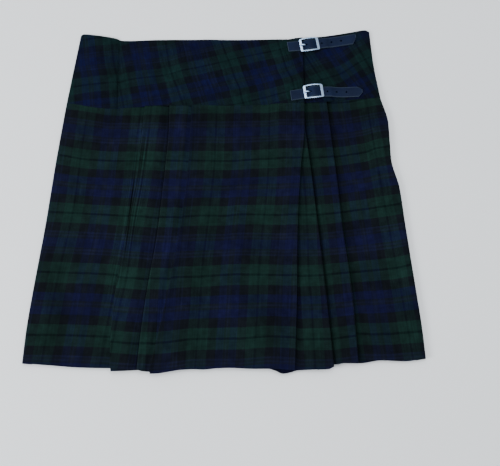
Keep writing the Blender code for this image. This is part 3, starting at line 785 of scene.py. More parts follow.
def row_shares(length, step):
    """Rows of the mesh from the upper edge to the lower one, close together at a raw edge."""
    count = max(4, round(length / step))
    shares = [n / count for n in range(count + 1)]
    edge = EDGE_ROW / length
    return sorted(set(shares + [edge, 1.0 - edge]))


def cut_size(points):
    """How wide and long a sheet is when it is opened out, and its area."""
    along, across = range(len(points) - 1), range(len(points[0]) - 1)
    area = sum(
        (points[r + 1][c] - points[r][c + 1]).cross(points[r + 1][c + 1] - points[r][c]).length / 2.0
        for r in along
        for c in across
    )
    widths = [sum((b - a).length for a, b in zip(row, row[1:])) for row in points]
    heights = [sum((points[r + 1][c] - points[r][c]).length for r in along) for c in range(len(points[0]))]
    return (max(widths), max(heights)), area


def add_cloth(name, start, plies, thickness, row_step, skirt):
    """A wall over the folded grid, with its threads in a UV map and its state as attributes."""
    columns = columns_of(start, plies)
    ends = [path_row(start, plies, columns, thickness, down) for down in (0.0, 1.0)]
    upper = [read(EDGES[plies[p.ply].top], p.x) for p in ends[0]]
    lower = [read(EDGES[plies[p.ply].bottom], p.x) for p in ends[1]]
    raw_edge = 1.0 if skirt else 0.0
    points, threads = [], []
    marks = {"wear": [], "beside": [], "shade": [], "crease": [], "swell": []}
    for down in row_shares(SKIRT_LENGTH if skirt else YOKE_LENGTH, row_step):
        row = path_row(start, plies, columns, thickness, down)
        ys = [a + (b - a) * down for a, b in zip(upper, lower)]
        threads.append(row_threads(row, plies, ys))
        grains = [plies[place.owner].grain for place in row]
        # The painted shade, or painted light, beside the fold over each place
        painted_fold_shades = [painted_fold_shading_at(grain, place.x, down) for grain, place in zip(grains, row)]
        raw = 1.0 if down == raw_edge else 0.0
        marks["wear"].append([max(place.wear, raw) for place in row])
        marks["beside"].append([beside for beside, shade in painted_fold_shades])
        marks["shade"].append([shade for beside, shade in painted_fold_shades])
        marks["crease"].append([creased(grain, place.x, down) for grain, place in zip(grains, row)])
        marks["swell"].append([swell(place.x, y) for place, y in zip(row, ys)])
        heights = [p.z + ripple(p.x, y, p.z) + side_crease(p.x, y) * (p.z > 2.0) for p, y in zip(row, ys)]
        points.append([Vector((p.x, y, z)) * MM for p, y, z in zip(row, ys, heights)])
    obj = add_grid(name, points, marks, threads)
    thicken(obj, thickness, soft=0.3 * thickness, segments=2, degrees=60.0)
    smooth(obj, 50.0)
    return obj, *cut_size(points)


# --- handling objects ---


def deselect():
    if bpy.context.object and bpy.context.object.mode != "OBJECT":
        bpy.ops.object.mode_set(mode="OBJECT")
    bpy.ops.object.select_all(action="DESELECT")


def pick(obj):
    deselect()
    obj.select_set(True)
    bpy.context.view_layer.objects.active = obj


def apply_modifiers(obj):
    pick(obj)
    for modifier in list(obj.modifiers):
        bpy.ops.object.modifier_apply(modifier=modifier.name)


def add_object(name, data):
    obj = bpy.data.objects.new(name, data)
    bpy.context.scene.collection.objects.link(obj)
    return obj


def smooth(obj, degrees):
    """Shades a piece smooth, but for corners sharper than this."""
    pick(obj)
    bpy.ops.object.shade_smooth_by_angle(angle=math.radians(degrees))


def thicken(obj, thickness, soft, segments, degrees):
    """Gives a sheet its thickness and rounds its edges that are sharper than this."""
    wall = obj.modifiers.new("wall", "SOLIDIFY")
    wall.thickness = thickness * MM
    wall.offset = 0.0
    wall.use_even_offset = True
    edge = obj.modifiers.new("edge", "BEVEL")
    edge.width = soft * MM
    edge.segments = segments
    edge.limit_method = "ANGLE"
    edge.angle_limit = math.radians(degrees)
    apply_modifiers(obj)


def cut_away(obj, tool):
    """Cuts the tool's shape out of a piece, and removes the tool."""
    cut = obj.modifiers.new("cut", "BOOLEAN")
    cut.operation = "DIFFERENCE"
    cut.solver = "EXACT"
    cut.object = tool
    apply_modifiers(obj)
    bpy.data.objects.remove(tool)


def add_grid(name, points, marks, threads=()):
    """A grid of faces through these points, with its marks as attributes and its threads, if it has
    any, as a UV map. Each list has a row for each row of points."""
    across, along = len(points[0]) - 1, len(points) - 1
    mesh = bpy.data.meshes.new(name)
    bm = bmesh.new()
    bmesh.ops.create_grid(bm, x_segments=across, y_segments=along, size=1.0)
    cloth = bm.loops.layers.uv.new("cloth") if threads else None
    layers = {key: bm.verts.layers.float.new(key) for key in marks}
    where = {}
    for vert in bm.verts:
        column = round((vert.co.x + 1.0) / 2.0 * across)
        row = round((1.0 - vert.co.y) / 2.0 * along)
        where[vert] = (row, column)
    for vert, (row, column) in where.items():
        vert.co = points[row][column]
        for key, layer in layers.items():
            vert[layer] = marks[key][row][column]
    for face in bm.faces if threads else ():
        for loop in face.loops:
            row, column = where[loop.vert]
            warp, weft = threads[row][column]
            loop[cloth].uv = (warp / (2.0 * HALF_SETT), weft / (2.0 * HALF_SETT))
    bm.to_mesh(mesh)
    bm.free()
    return add_object(name, mesh)


def join(name, objects):
    deselect()
    for obj in objects:
        obj.select_set(True)
    bpy.context.view_layer.objects.active = objects[0]
    bpy.ops.object.join()
    joined = bpy.context.view_layer.objects.active
    joined.name = name
    joined.data.name = name
    return joined


def finish_piece(obj, material, nodes):
    """Gives a piece its material and slot, hangs it under the root, and hides the solids that it stands
    for.
    """
    obj.data.materials.clear()
    obj.data.materials.append(material)
    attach(obj, "root")
    if nodes:
        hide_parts(*nodes)


# --- materials ---


class Nodes:
    """Adds nodes to a material and links them."""

    def __init__(self, name):
        self.material = bpy.data.materials.new(name)
        self.material.use_nodes = True
        self.tree = self.material.node_tree
        self.shader = self.tree.nodes["Principled BSDF"]

    def add(self, kind, inputs=(), **settings):
        made = self.tree.nodes.new(kind)
        for key, value in settings.items():
            setattr(made, key, value)
        for key, value in dict(inputs).items():
            self.set(made.inputs[key], value)
        return made

    def set(self, socket, value):
        if isinstance(value, bpy.types.NodeSocket):
            self.tree.links.new(value, socket)
        else:
            socket.default_value = value

    def finish(self, inputs):
        """Sets what the surface is like, and gives back its material."""
        for key, value in inputs.items():
            self.set(self.shader.inputs[key], value)
        return self.material

    def place(self):
        return self.add("ShaderNodeTexCoord").outputs["Object"]

    def attribute(self, name):
        return self.add("ShaderNodeAttribute", attribute_name=name).outputs["Fac"]

    def bump(self, strength, distance, height, **more):
        inputs = {"Strength": strength, "Distance": distance, "Height": height, **more}
        return self.add("ShaderNodeBump", inputs).outputs[0]

    def times(self, first, second):
        return self.math("MULTIPLY", first, second)

    def plus(self, first, second):
        return self.math("ADD", first, second)

    def math(self, operation, first, second=None):
        made = self.tree.nodes.new("ShaderNodeMath")
        made.operation = operation
        self.set(made.inputs[0], first)
        if second is not None:
            self.set(made.inputs[1], second)
        return made.outputs[0]

    def span(self, value, low, high):
        """A value from 0 to 1, spread from low to high."""
        return self.add("ShaderNodeMapRange", {0: value, 3: low, 4: high}).outputs[0]

    def falling(self, value, reach):
        """From 1 where the value is 0 down to 0 where it is the reach."""
        made = self.add("ShaderNodeMapRange", {0: value, 1: 0.0, 2: reach, 3: 1.0, 4: 0.0})
        made.interpolation_type = "SMOOTHSTEP"
        return made.outputs[0]

    def noise(self, vector, scale, detail=2.0, roughness=0.5):
        inputs = {"Vector": vector, "Scale": scale, "Detail": detail, "Roughness": roughness}
        return self.add("ShaderNodeTexNoise", inputs).outputs["Fac"]

    def mix(self, share, first, second):
        return self.add("ShaderNodeMix", {0: share, 6: first, 7: second}, data_type="RGBA").outputs[2]

    def scaled(self, colour, factor):
        """A colour made lighter or darker by a factor."""
        return self.add("ShaderNodeVectorMath", {0: colour, "Scale": factor}, operation="SCALE").outputs[0]

    def stretched(self, x, x_scale, y, y_scale):
        """A place for a noise that is stretched more one way than the other."""
        inputs = {0: self.times(x, x_scale), 1: self.times(y, y_scale)}
        return self.add("ShaderNodeCombineXYZ", inputs).outputs[0]


def sett_ramp(nodes, thread, colours):
    """The colour of a thread. The sett turns back at each end."""
    place = nodes.math("DIVIDE", nodes.math("PINGPONG", thread, float(HALF_SETT)), float(HALF_SETT))
    ramp = nodes.add("ShaderNodeValToRGB", {0: place})
    ramp.color_ramp.interpolation = "CONSTANT"
    stops = ramp.color_ramp.elements
    stops.remove(stops[1])
    past = 0
    for n, (colour, threads) in enumerate(SETT):
        stop = stops[0] if n == 0 else stops.new(past / HALF_SETT)
        stop.color = (*colours[colour], 1.0)
        past += threads
    return ramp.outputs[0]


def tartan(name, settings, tint, warp_share):
    """Wool twill: warp and weft each follow the sett, and two threads cross two."""
    nodes = Nodes(name)
    colours = {key: tuple(a * b for a, b in zip(getattr(settings, key), tint)) for key, threads in SETT}
    cloth = nodes.add("ShaderNodeSeparateXYZ", {0: nodes.add("ShaderNodeUVMap", uv_map="cloth").outputs[0]})
    warp = nodes.times(cloth.outputs[0], 2.0 * HALF_SETT)
    weft = nodes.times(cloth.outputs[1], 2.0 * HALF_SETT)
    place = nodes.place()
    # Each counted thread is drawn as two. Each step to the next moves the crossing on by one.
    fine_warp, fine_weft = nodes.times(warp, 2.0), nodes.times(weft, 2.0)
    step = nodes.math("SUBTRACT", nodes.math("FLOOR", fine_warp), nodes.math("FLOOR", fine_weft))
    on_top = nodes.math("LESS_THAN", nodes.math("FRACT", nodes.times(step, 0.25)), 0.49)
    warp_streaks = nodes.noise(nodes.stretched(warp, 0.45, weft, 0.012), 1.0, 3.0, 0.7)
    weft_streaks = nodes.noise(nodes.stretched(warp, 0.02, weft, 0.6), 1.0, 3.0, 0.7)
    warp_colour = nodes.scaled(sett_ramp(nodes, warp, colours), nodes.span(warp_streaks, 0.2, 1.8))
    weft_colour = nodes.scaled(sett_ramp(nodes, weft, colours), nodes.span(weft_streaks, 0.5, 1.5))
    woven = nodes.mix(nodes.times(on_top, 2.0 * warp_share), weft_colour, warp_colour)
    woven = nodes.scaled(woven, nodes.span(warp_streaks, 0.7, 1.3))
    # Each thread is round: high along its middle, low between it and the next, where its colour is also
    # painted darker: painted shade
    warp_round = nodes.math("SINE", nodes.times(nodes.math("FRACT", fine_warp), math.pi))
    weft_round = nodes.math("SINE", nodes.times(nodes.math("FRACT", fine_weft), math.pi))
    thread = nodes.add("ShaderNodeMix", {0: on_top, 2: weft_round, 3: warp_round}).outputs[0]
    patches = nodes.span(nodes.noise(place, 20.0, 3.0), 0.6, 1.4)
    mottles = nodes.span(nodes.noise(place, 110.0, 2.0), 0.55, 1.45)
    fuzz = nodes.noise(place, 2600.0, 2.0)
    # Painted shade between the threads, with patches and mottles of tone that differ at random
    depth = nodes.times(nodes.times(nodes.span(thread, 0.72, 1.12), patches), mottles)
    cloth_colour_with_painted_shading = nodes.scaled(woven, nodes.times(depth, nodes.span(fuzz, 0.85, 1.15)))
    # Rubbed folds with their painted highlight and shade, and the painted light and shade of small ridges
    # beside a fold and of wide swells
    # Rubbing on folds and raw edges, with a painted highlight on fold edges, painted shade below 0, and
    # painted light on the highest plies
    fold_wear_and_painted_light = nodes.times(nodes.attribute("wear"), nodes.span(nodes.noise(place, 90.0, 3.0), 0.0, 0.25))
    painted_ridge_shading = nodes.span(nodes.noise(nodes.stretched(warp, 0.33, weft, 0.006), 1.0, 1.0), -2.0, 2.0)
    painted_ridge_shading = nodes.times(nodes.attribute("crease"), painted_ridge_shading)
    for paler in (fold_wear_and_painted_light, painted_ridge_shading, nodes.attribute("swell")):
        cloth_colour_with_painted_shading = nodes.scaled(cloth_colour_with_painted_shading, nodes.plus(paler, 1.0))
    # Painted shade where cloth runs under a fold: a line along it, and a soft band beside that. Where it is
    # below 0 the cloth is painted paler: painted light.
    beside = nodes.attribute("beside")
    close = nodes.times(nodes.falling(beside, 1.0), 0.65)
    near = nodes.times(nodes.falling(beside, 4.0), 0.35)
    painted_shade = nodes.times(nodes.plus(close, near), nodes.attribute("shade"))
    creases = nodes.noise(nodes.stretched(warp, 0.11, weft, 0.012), 1.0, 3.0)
    height = nodes.plus(thread, nodes.times(fuzz, 0.8))
    return nodes.finish({
        "Base Color": nodes.scaled(cloth_colour_with_painted_shading, nodes.math("SUBTRACT", 1.0, painted_shade)),
        "Roughness": nodes.span(fuzz, 0.8, 1.0),
        "Specular IOR Level": 0.05,
        "Sheen Weight": settings.sheen,
        "Sheen Roughness": 0.4,
        "Sheen Tint": (0.62, 0.74, 0.95, 1.0),
        "Normal": nodes.bump(0.5, 0.00018, height, Normal=nodes.bump(0.35, 0.0012, creases)),
    })


def leather(name, settings):
    """Smooth dyed hide with a fine pebble, paler and duller on its cut edge, partly its own colour and
    partly a painted highlight.
    """
    nodes = Nodes(name)
    place = nodes.place()
    pores = nodes.add("ShaderNodeTexVoronoi", {"Vector": place, "Scale": 1500.0}, feature="F1").outputs[0]
    grain = nodes.noise(place, 700.0, 4.0, 0.6)
    cloud = nodes.noise(place, 45.0, 3.0)
    face = nodes.scaled(tuple(settings.strap), nodes.span(cloud, 0.5, 1.5))
    rim_with_painted_highlight = nodes.scaled(tuple(settings.edge), nodes.span(grain, 0.6, 1.4))
    return nodes.finish({
        "Base Color": nodes.mix(nodes.attribute("edge"), face, rim_with_painted_highlight),
        "Roughness": nodes.span(cloud, 0.38, 0.6),
        "Specular IOR Level": 0.08,
        "Normal": nodes.bump(0.45, 0.00012, nodes.plus(pores, nodes.times(grain, 0.8))),
    })


def nickel(name, settings):
    """Plated and polished, with hairline scuffs."""
    nodes = Nodes(name)
    place = nodes.place()
    stretch = nodes.add("ShaderNodeMapping", {"Vector": place, "Scale": (260.0, 2400.0, 900.0)}).outputs[0]
    scuffs = nodes.noise(stretch, 1.0, 3.0)
    cloud = nodes.noise(place, 180.0, 3.0)
    return nodes.finish({
        "Base Color": nodes.scaled(tuple(settings.nickel), nodes.span(cloud, 0.9, 1.06)),
        "Metallic": 1.0,
        "Roughness": nodes.span(nodes.times(scuffs, cloud), 0.2, 0.45),
        "Normal": nodes.bump(0.12, 0.00005, scuffs),
    })


def thread_material(name, colour):
    """Twisted sewing thread, painted darker in the grooves between its strands and paler on their crowns:
    painted shade and light.
    """
    nodes = Nodes(name)
    inputs = {"Vector": nodes.place(), "Scale": 900.0, "Distortion": 1.0}
    twist = nodes.add("ShaderNodeTexWave", inputs, bands_direction="DIAGONAL").outputs["Fac"]
    return nodes.finish({
        "Base Color": nodes.scaled(tuple(colour), nodes.span(twist, 0.6, 1.3)),
        "Roughness": 0.7,
        "Specular IOR Level": 0.08,
        "Normal": nodes.bump(0.5, 0.0001, twist),
    })


def floor_material(name, colour):
    """Plain matt paper."""
    nodes = Nodes(name)
    tone = nodes.span(nodes.noise(nodes.place(), 3.0, 2.0), 0.985, 1.015)
    return nodes.finish({
        "Base Color": nodes.scaled(tuple(colour), tone),
        "Roughness": 0.9,
        "Specular IOR Level": 0.1,
    })


# --- straps and buckles ---


def surface(x, y):
    """How high the right side of the yoke lies, at its upper face."""
    waist, seam = read(EDGES["waist"], x), read(EDGES["seam"], x)
    down = max(0.0, (waist - y) / (waist - seam))
    return under_yoke_height(x, down) + 0.55


def bar_height():
    """The centre bar lies on the chape's lower ply."""
    return GAP + CHAPE_LEATHER + GAP + BAR_RADIUS


def frame_height():
    """The underside of the frame's ends, just over the strap."""
    return PLY + GAP + LEATHER + GAP


def strap_lift(along):
    """How high the middle of a strap lies over the right yoke: flat, over the bar and flat again."""
    beside = PLY + GAP + LEATHER / 2.0
    over_bar = bar_height() + BAR_RADIUS + BAR_PLAY + CHAPE_LEATHER + LEATHER / 2.0
    hump = (1.0 + math.cos(math.pi * min(abs(along) / HUMP_REACH, 1.0))) / 2.0
    rest = GAP + LEATHER / 2.0
    sink = eased((along - CHAPE_REACH - 3.0) / 9.0)
    return beside + (over_bar - beside) * hump - (beside - rest) * sink


def strap_aside(strap, along):
    """How far the strap's middle line lies beside the buckle's own axis, because it bends there."""
    turn = strap.right_turn if along > 0.0 else strap.left_turn
    tip = strap.point * max(0.0, 1.0 - (strap.right - along) / strap.tip)
    return tip + along * math.tan(math.radians(turn - strap.turn)) * eased(abs(along) / BEND_REACH)


def strap_half_width(strap, along):
    share = max(strap.right - along, 0.0) / strap.tip
    return STRAP_WIDTH / 2.0 * min(1.0, 0.24 + 0.76 * share**0.8)


def strap_spot(strap, along, side, above):
    """A place on a strap: along it, to the side of its middle line, and above that line."""
    turn = math.radians(strap.turn)
    across = strap_aside(strap, along) + side
    x = strap.x + along * math.cos(turn) - across * math.sin(turn)
    y = strap.y + along * math.sin(turn) + across * math.cos(turn)
    return Vector((x, y, surface(x, y) + strap_lift(along) + above))


def buckle_place(strap):
    """The buckle's own axes: along the strap, across it, and up from the tilted yoke."""
    step = 4.0
    rise_x = (surface(strap.x + step, strap.y) - surface(strap.x - step, strap.y)) / (2.0 * step)
    rise_y = (surface(strap.x, strap.y + step) - surface(strap.x, strap.y - step)) / (2.0 * step)
    turn = math.radians(strap.turn)
    along = Vector((math.cos(turn), math.sin(turn), 0.0))
    across = Vector((-math.sin(turn), math.cos(turn), 0.0))
    along.z = rise_x * along.x + rise_y * along.y
    across.z = rise_x * across.x + rise_y * across.y
    matrix = Matrix.Identity(4)
    for column, axis in enumerate((along, across, Vector((0.0, 0.0, 1.0)))):
        for row in range(3):
            matrix[row][column] = axis[row]
    matrix.translation = Vector((strap.x, strap.y, surface(strap.x, strap.y))) * MM
    return matrix


def leather_wall(name, rows, edges, thickness):
    """A wall of leather over a grid of places, with its cut edges marked to be painted paler, partly as a
    painted highlight.
    """
    obj = add_grid(name, [[spot * MM for spot in row] for row in rows], {"edge": edges})
    thicken(obj, thickness, soft=0.28 * thickness, segments=3, degrees=55.0)
    return obj


def punch(obj, place, stretch=1.0):
    """Punches a hole through a piece of leather."""
    deselect()
    bpy.ops.mesh.primitive_cylinder_add(vertices=24, radius=STRAP_HOLE_RADIUS * MM, depth=30.0 * MM)
    tool = bpy.context.object
    tool.data.transform(place @ Matrix.Diagonal((stretch, 1.0, 1.0, 1.0)))
    cut_away(obj, tool)


# Where the mesh of the leather has its rows: across it, and along a strap's end and its point
ACROSS = (-1.0, -0.94, -0.82, -0.5, 0.0, 0.5, 0.82, 0.94, 1.0)
END_ROW, FIRST_ROW, ROW_STEP = 0.8, 2.5, 1.5
TIP_ROWS = (0.0, 0.2, 0.4, 0.6, 0.75, 0.88, 0.96, 1.0)


def make_strap(strap):
    """A flat strap over the buckle's bar, slightly rounded in section, its holes punched through."""
    flat_end = strap.right - strap.tip
    count = int((strap.left - FIRST_ROW + flat_end) / ROW_STEP)
    stations = [-strap.left, -strap.left + END_ROW]
    stations += [-strap.left + FIRST_ROW + ROW_STEP * n for n in range(count)]
    stations += [flat_end + strap.tip * share for share in TIP_ROWS]
    rows, edges = [], []
    for side in ACROSS:
        crown = -STRAP_CROWN * side * side
        rows.append([
            strap_spot(strap, along, -side * strap_half_width(strap, along), crown) for along in stations
        ])
        # The edges are marked to be painted paler: the cut's own colour, and a painted highlight along the
        # edge
        cut = 1.0 if abs(side) > 0.97 else 0.35 if abs(side) > 0.9 else 0.0
        edges.append([1.0] + [cut] * (len(stations) - 3) + [1.0, 1.0])
    obj = leather_wall("strap_leather_" + strap.name, rows, edges, LEATHER)
    place = buckle_place(strap)
    for along in strap.holes:
        punch(obj, place @ Matrix.Translation((along * MM, strap_aside(strap, along) * MM, 0.0)))
    punch(obj, place @ Matrix.Translation((PIN_SLOT * MM, 0.0, 0.0)), 2.0)
    smooth(obj, 40.0)
    return obj


def make_chape(strap):
    """The short leather that loops round the centre bar and is sewn to the side of the yoke."""
    height = bar_height()
    radius = BAR_RADIUS + GAP + CHAPE_LEATHER / 2.0
    profile = [(CHAPE_REACH - 2.5 * n, GAP + CHAPE_LEATHER / 2.0) for n in range(8)]
    for n in range(13):
        angle = math.radians(-90.0 - 15.0 * n)
        profile.append((radius * math.cos(angle), height + radius * math.sin(angle)))
    profile += [(2.6, height + radius - 0.5), (5.4, height + 0.1)]
    place = buckle_place(strap)
    rows, edges = [], []
    for side in ACROSS:
        rows.append([place @ (Vector((x, -side * CHAPE_WIDTH / 2.0, z)) * MM) / MM for x, z in profile])
        # The chape's cut edges are painted paler too: its own colour and a painted highlight
        edges.append([1.0 if abs(side) > 0.97 else 0.0] * len(profile))
    obj = leather_wall("chape_leather_" + strap.name, rows, edges, CHAPE_LEATHER)
    deselect()
    bpy.ops.mesh.primitive_cube_add(size=1.0)
    tool = bpy.context.object
    tool.data.transform(Matrix.Diagonal((9.0 * MM, 3.0 * MM, 12.0 * MM, 1.0)))
    tool.data.transform(place @ Matrix.Translation((-0.5 * MM, 0.0, 4.0 * MM)))
    cut_away(obj, tool)
    smooth(obj, 40.0)
    return obj


def select_verts(obj, wanted):
    """Selects, in edit mode, the vertices that a test picks."""
    bpy.ops.object.mode_set(mode="OBJECT")
    for face in obj.data.polygons:
        face.select = False
    for edge in obj.data.edges:
        edge.select = False
    for vert in obj.data.vertices:
        vert.select = wanted(vert.co)
    bpy.ops.object.mode_set(mode="EDIT")


def make_frame(strap):
    """A rectangular frame, narrower at its ends and arched over the strap, with a bar on two posts."""
    deselect()
    bpy.ops.mesh.primitive_plane_add(size=1.0)
    obj = bpy.context.object
    bpy.ops.object.mode_set(mode="EDIT")
    bpy.ops.mesh.select_mode(type="VERT")
    bpy.ops.mesh.select_all(action="SELECT")
    bpy.ops.transform.resize(value=(BUCKLE_LONG * MM, BUCKLE_WIDE * MM, 1.0))
    bpy.ops.mesh.bevel(offset=BUCKLE_CORNER * MM, segments=5, affect="VERTICES")
    bpy.ops.mesh.select_all(action="SELECT")
    rail = (BUCKLE_WIDE - WINDOW_WIDE) / 2.0
    bpy.ops.mesh.inset(thickness=rail * MM)
    bpy.ops.transform.resize(value=(WINDOW_LONG / (BUCKLE_LONG - 2.0 * rail), 1.0, 1.0))
    bpy.ops.mesh.delete(type="FACE")
    for n in range(-5, 6):
        bpy.ops.mesh.select_all(action="SELECT")
        bpy.ops.mesh.bisect(plane_co=(n * 2.4 * MM, 0.0, 0.0), plane_no=(1.0, 0.0, 0.0))
    bpy.ops.object.mode_set(mode="OBJECT")
    for station in sorted({round(vert.co.x, 7) for vert in obj.data.vertices}):
        share = station / (BUCKLE_LONG / 2.0 * MM)
        select_verts(obj, lambda spot: abs(spot.x - station) < 2e-7)
        narrower = (1.0, 1.0 - BUCKLE_BARREL * share**2, 1.0)
        bpy.ops.transform.resize(value=narrower, center_override=(0, 0, 0))
        bpy.ops.transform.translate(value=(0.0, 0.0, BUCKLE_ARCH * (1.0 - share**2) * MM))
    bpy.ops.mesh.select_all(action="SELECT")
    bpy.ops.transform.translate(value=(0.0, 0.0, (frame_height() + BUCKLE_THICK / 2.0) * MM))
    bpy.ops.mesh.normals_make_consistent(inside=False)
    bpy.ops.object.mode_set(mode="OBJECT")
    thicken(obj, BUCKLE_THICK, soft=0.5, segments=4, degrees=50.0)
    between = (WINDOW_WIDE + BUCKLE_WIDE) / 2.0
    deselect()
    bpy.ops.mesh.primitive_cylinder_add(
        vertices=24, radius=BAR_RADIUS * MM, depth=between * MM,
        location=(0.0, 0.0, bar_height() * MM), rotation=(math.pi / 2.0, 0.0, 0.0),
    )
    bpy.ops.object.transform_apply(location=True, rotation=True, scale=True)
    pieces = [obj, bpy.context.object]
    top = frame_height() + BUCKLE_ARCH + 0.4
    foot = bar_height() - BAR_RADIUS
    for side in (1.0, -1.0):
        deselect()
        bpy.ops.mesh.primitive_cube_add(
            size=1.0, location=(0.0, side * between / 2.0 * MM, (top + foot) / 2.0 * MM),
            scale=(2.4 * MM, (rail - 0.5) * MM, (top - foot) * MM),
        )
        bpy.ops.object.transform_apply(location=True, rotation=True, scale=True)
        post = bpy.context.object
        soft = post.modifiers.new("edge", "BEVEL")
        soft.width = 0.4 * MM
        soft.segments = 2
        apply_modifiers(post)
        pieces.append(post)
    obj = join("frame_nickel_" + strap.name, pieces)
    obj.data.transform(buckle_place(strap))
    smooth(obj, 40.0)
    return obj


def make_pin(strap):
    """The pin hooks over the centre bar, comes up through the strap and rests on the frame's end."""
    reach = BAR_RADIUS + 0.15 + PIN_RADIUS
    rest = frame_height() + BUCKLE_THICK + BUCKLE_ARCH * 0.5 + PIN_RADIUS + 0.1
    profile = []
    for n in range(15):
        angle = math.radians(-50.0 + 13.5 * n)
        profile.append((reach * math.cos(angle), bar_height() + reach * math.sin(angle)))
    profile += [(x, bar_height() + z) for x, z in PIN_RISE]
    profile += [(x, rest + z) for x, z in PIN_LINE]
    curve = bpy.data.curves.new("pin_line", "CURVE")
    curve.dimensions = "3D"
    curve.bevel_depth = PIN_RADIUS * MM
    curve.bevel_resolution = 4
    curve.use_fill_caps = True
    spline = curve.splines.new("POLY")
    spline.points.add(len(profile) - 1)
    for n, (point, (x, z)) in enumerate(zip(spline.points, profile)):
        point.co = (x * MM, 0.0, z * MM, 1.0)
        point.radius = 0.55 if n == len(profile) - 1 else 1.0
    pick(add_object("pin_nickel_" + strap.name, curve))
    bpy.ops.object.convert(target="MESH")
    obj = bpy.context.object
    obj.data.transform(buckle_place(strap) @ Matrix.Diagonal((1.0, 1.4, 1.0, 1.0)))
    bpy.ops.object.mode_set(mode="EDIT")
    bpy.ops.mesh.select_all(action="SELECT")
    bpy.ops.mesh.remove_doubles(threshold=0.005 * MM)
    bpy.ops.mesh.normals_make_consistent(inside=False)
    bpy.ops.object.mode_set(mode="OBJECT")
    smooth(obj, 50.0)
    return obj


# --- stitches ---

# How far the yoke's stitches lie from its seam, and from each other
SEAM_ASIDE, SEAM_PITCH = 1.9, 2.9


def stitch_row(name, places, length, radius):
    """One stitch is modelled, and a copy laid at each place. A place is its middle and its line."""
    deselect()
    bpy.ops.mesh.primitive_uv_sphere_add(segments=6, ring_count=5, radius=1.0)
    model = bpy.context.object
    bpy.ops.object.mode_set(mode="EDIT")
    bpy.ops.mesh.select_all(action="SELECT")
    bpy.ops.transform.resize(value=(length / 2.0 * MM, radius * MM, radius * MM))
    bpy.ops.object.mode_set(mode="OBJECT")
    # The sphere's faces come in another order each run, so they are sorted by their corners
    bm = bmesh.new()
    bm.from_mesh(model.data)
    bm.faces.sort(key=lambda face: sum(2.0**vert.index for vert in face.verts))
    bm.to_mesh(model.data)
    bm.free()
    copies = []
    for middle, line in places:
        copy = add_object(name, model.data.copy())
        turn = line.to_track_quat("X", "Z").to_matrix().to_4x4()
        copy.data.transform(Matrix.Translation(middle * MM) @ turn)
        copies.append(copy)
    bpy.data.objects.remove(model)
    stitches = join(name, copies)
    smooth(stitches, 60.0)
    return stitches


def seam_stitches():
    """The yoke is edge-stitched along its seam with the skirt."""
    places = []
    spans = (
        (over_yoke_height, -228.0, -160.0),
        (dipped(over_yoke_height), -156.5, 112.5),
        (dipped(under_yoke_height), 117.5, 221.0),
    )
    for height, first, last in spans:
        for n in range(int((last - first) / SEAM_PITCH)):
            spots = []
            for x in (first + SEAM_PITCH * n, first + SEAM_PITCH * n + 1.0):
                seam = read(EDGES["seam"], x)
                y = seam + SEAM_ASIDE
                down = (read(EDGES["waist"], x) - y) / (read(EDGES["waist"], x) - seam)
                z = height(x, down)
                z += ripple(x, y, z) + side_crease(x, y)
                spots.append(Vector((x, y, z + 0.52)))
            places.append((spots[0], spots[1] - spots[0]))
    return stitch_row("yoke_seam_stitches", places, 2.2, 0.16)


def strap_stitches(strap):
    """Two lines of stitches hold the strap's end to the over-apron's yoke."""
    places = []
    for along in (-strap.left + 1.6, -strap.left + 13.0):
        for n in range(6):
            spots = []
            for side in (-6.4 + 2.5 * n, -5.4 + 2.5 * n):
                crown = -STRAP_CROWN * (side / (STRAP_WIDTH / 2.0)) ** 2
                spots.append(strap_spot(strap, along, side, LEATHER / 2.0 + crown))
            places.append((spots[0], spots[1] - spots[0]))
    return stitch_row("strap_stitches_" + strap.name, places, 2.0, 0.22)


# --- settings ---


def colour_setting(name, description, value):
    return FloatVectorProperty(
        name=name, description=description, subtype="COLOR", size=3, min=0.0, max=1.0, default=value
    )


class KiltCloth(bpy.types.PropertyGroup):
    thickness: FloatProperty(
        name="Thickness", description="How thick one ply is", subtype="DISTANCE", unit="LENGTH",
        default=1.05 * MM, min=0.5 * MM, max=1.15 * MM,
    )
    row_step: FloatProperty(
        name="Row height", description="Height of a row of the mesh", subtype="DISTANCE", unit="LENGTH",
        default=5.5 * MM, min=2.0 * MM, max=30.0 * MM,
    )


class KiltTartan(bpy.types.PropertyGroup):
    blue: colour_setting("Blue", "The blue threads", (0.0038, 0.0043, 0.0226))
    pale: colour_setting("Pale blue", "The threads of the thin blue lines", (0.0055, 0.0069, 0.0180))
    deep: colour_setting("Deep green", "The thin dark line in the green", (0.0015, 0.0058, 0.0058))
    dusk: colour_setting("Dusk", "The threads of the thin dark lines in the blue", (0.0042, 0.0055, 0.0118))
    black: colour_setting("Black", "The black threads", (0.0034, 0.0046, 0.0068))
    green: colour_setting("Green", "The green threads", (0.0046, 0.0152, 0.0126))
    sheen: FloatProperty(
        name="Sheen", description="Light that the wool's fuzz catches", subtype="FACTOR",
        default=0.02, min=0.0, max=1.0,
    )
    yoke_tint: colour_setting("Yoke tint", "The yoke's colours beside the skirt's", (0.72, 0.82, 1.0))


class KiltFittings(bpy.types.PropertyGroup):
    strap: colour_setting("Strap", "Face of the straps", (0.0039, 0.0085, 0.0272))
    # The cut edge is painted paler than the face: partly the cut's own colour, partly a painted highlight
    edge: colour_setting("Cut edge", "Cut edges of the leather", (0.031, 0.045, 0.068))
    nickel: colour_setting("Nickel", "Buckles and their pins", (0.53, 0.72, 1.0))
    stitch: colour_setting("Stitches", "Sewing thread of the yoke", (0.003, 0.005, 0.009))
    strap_stitch: colour_setting("Strap stitches", "Sewing thread of the straps", (0.008, 0.013, 0.022))


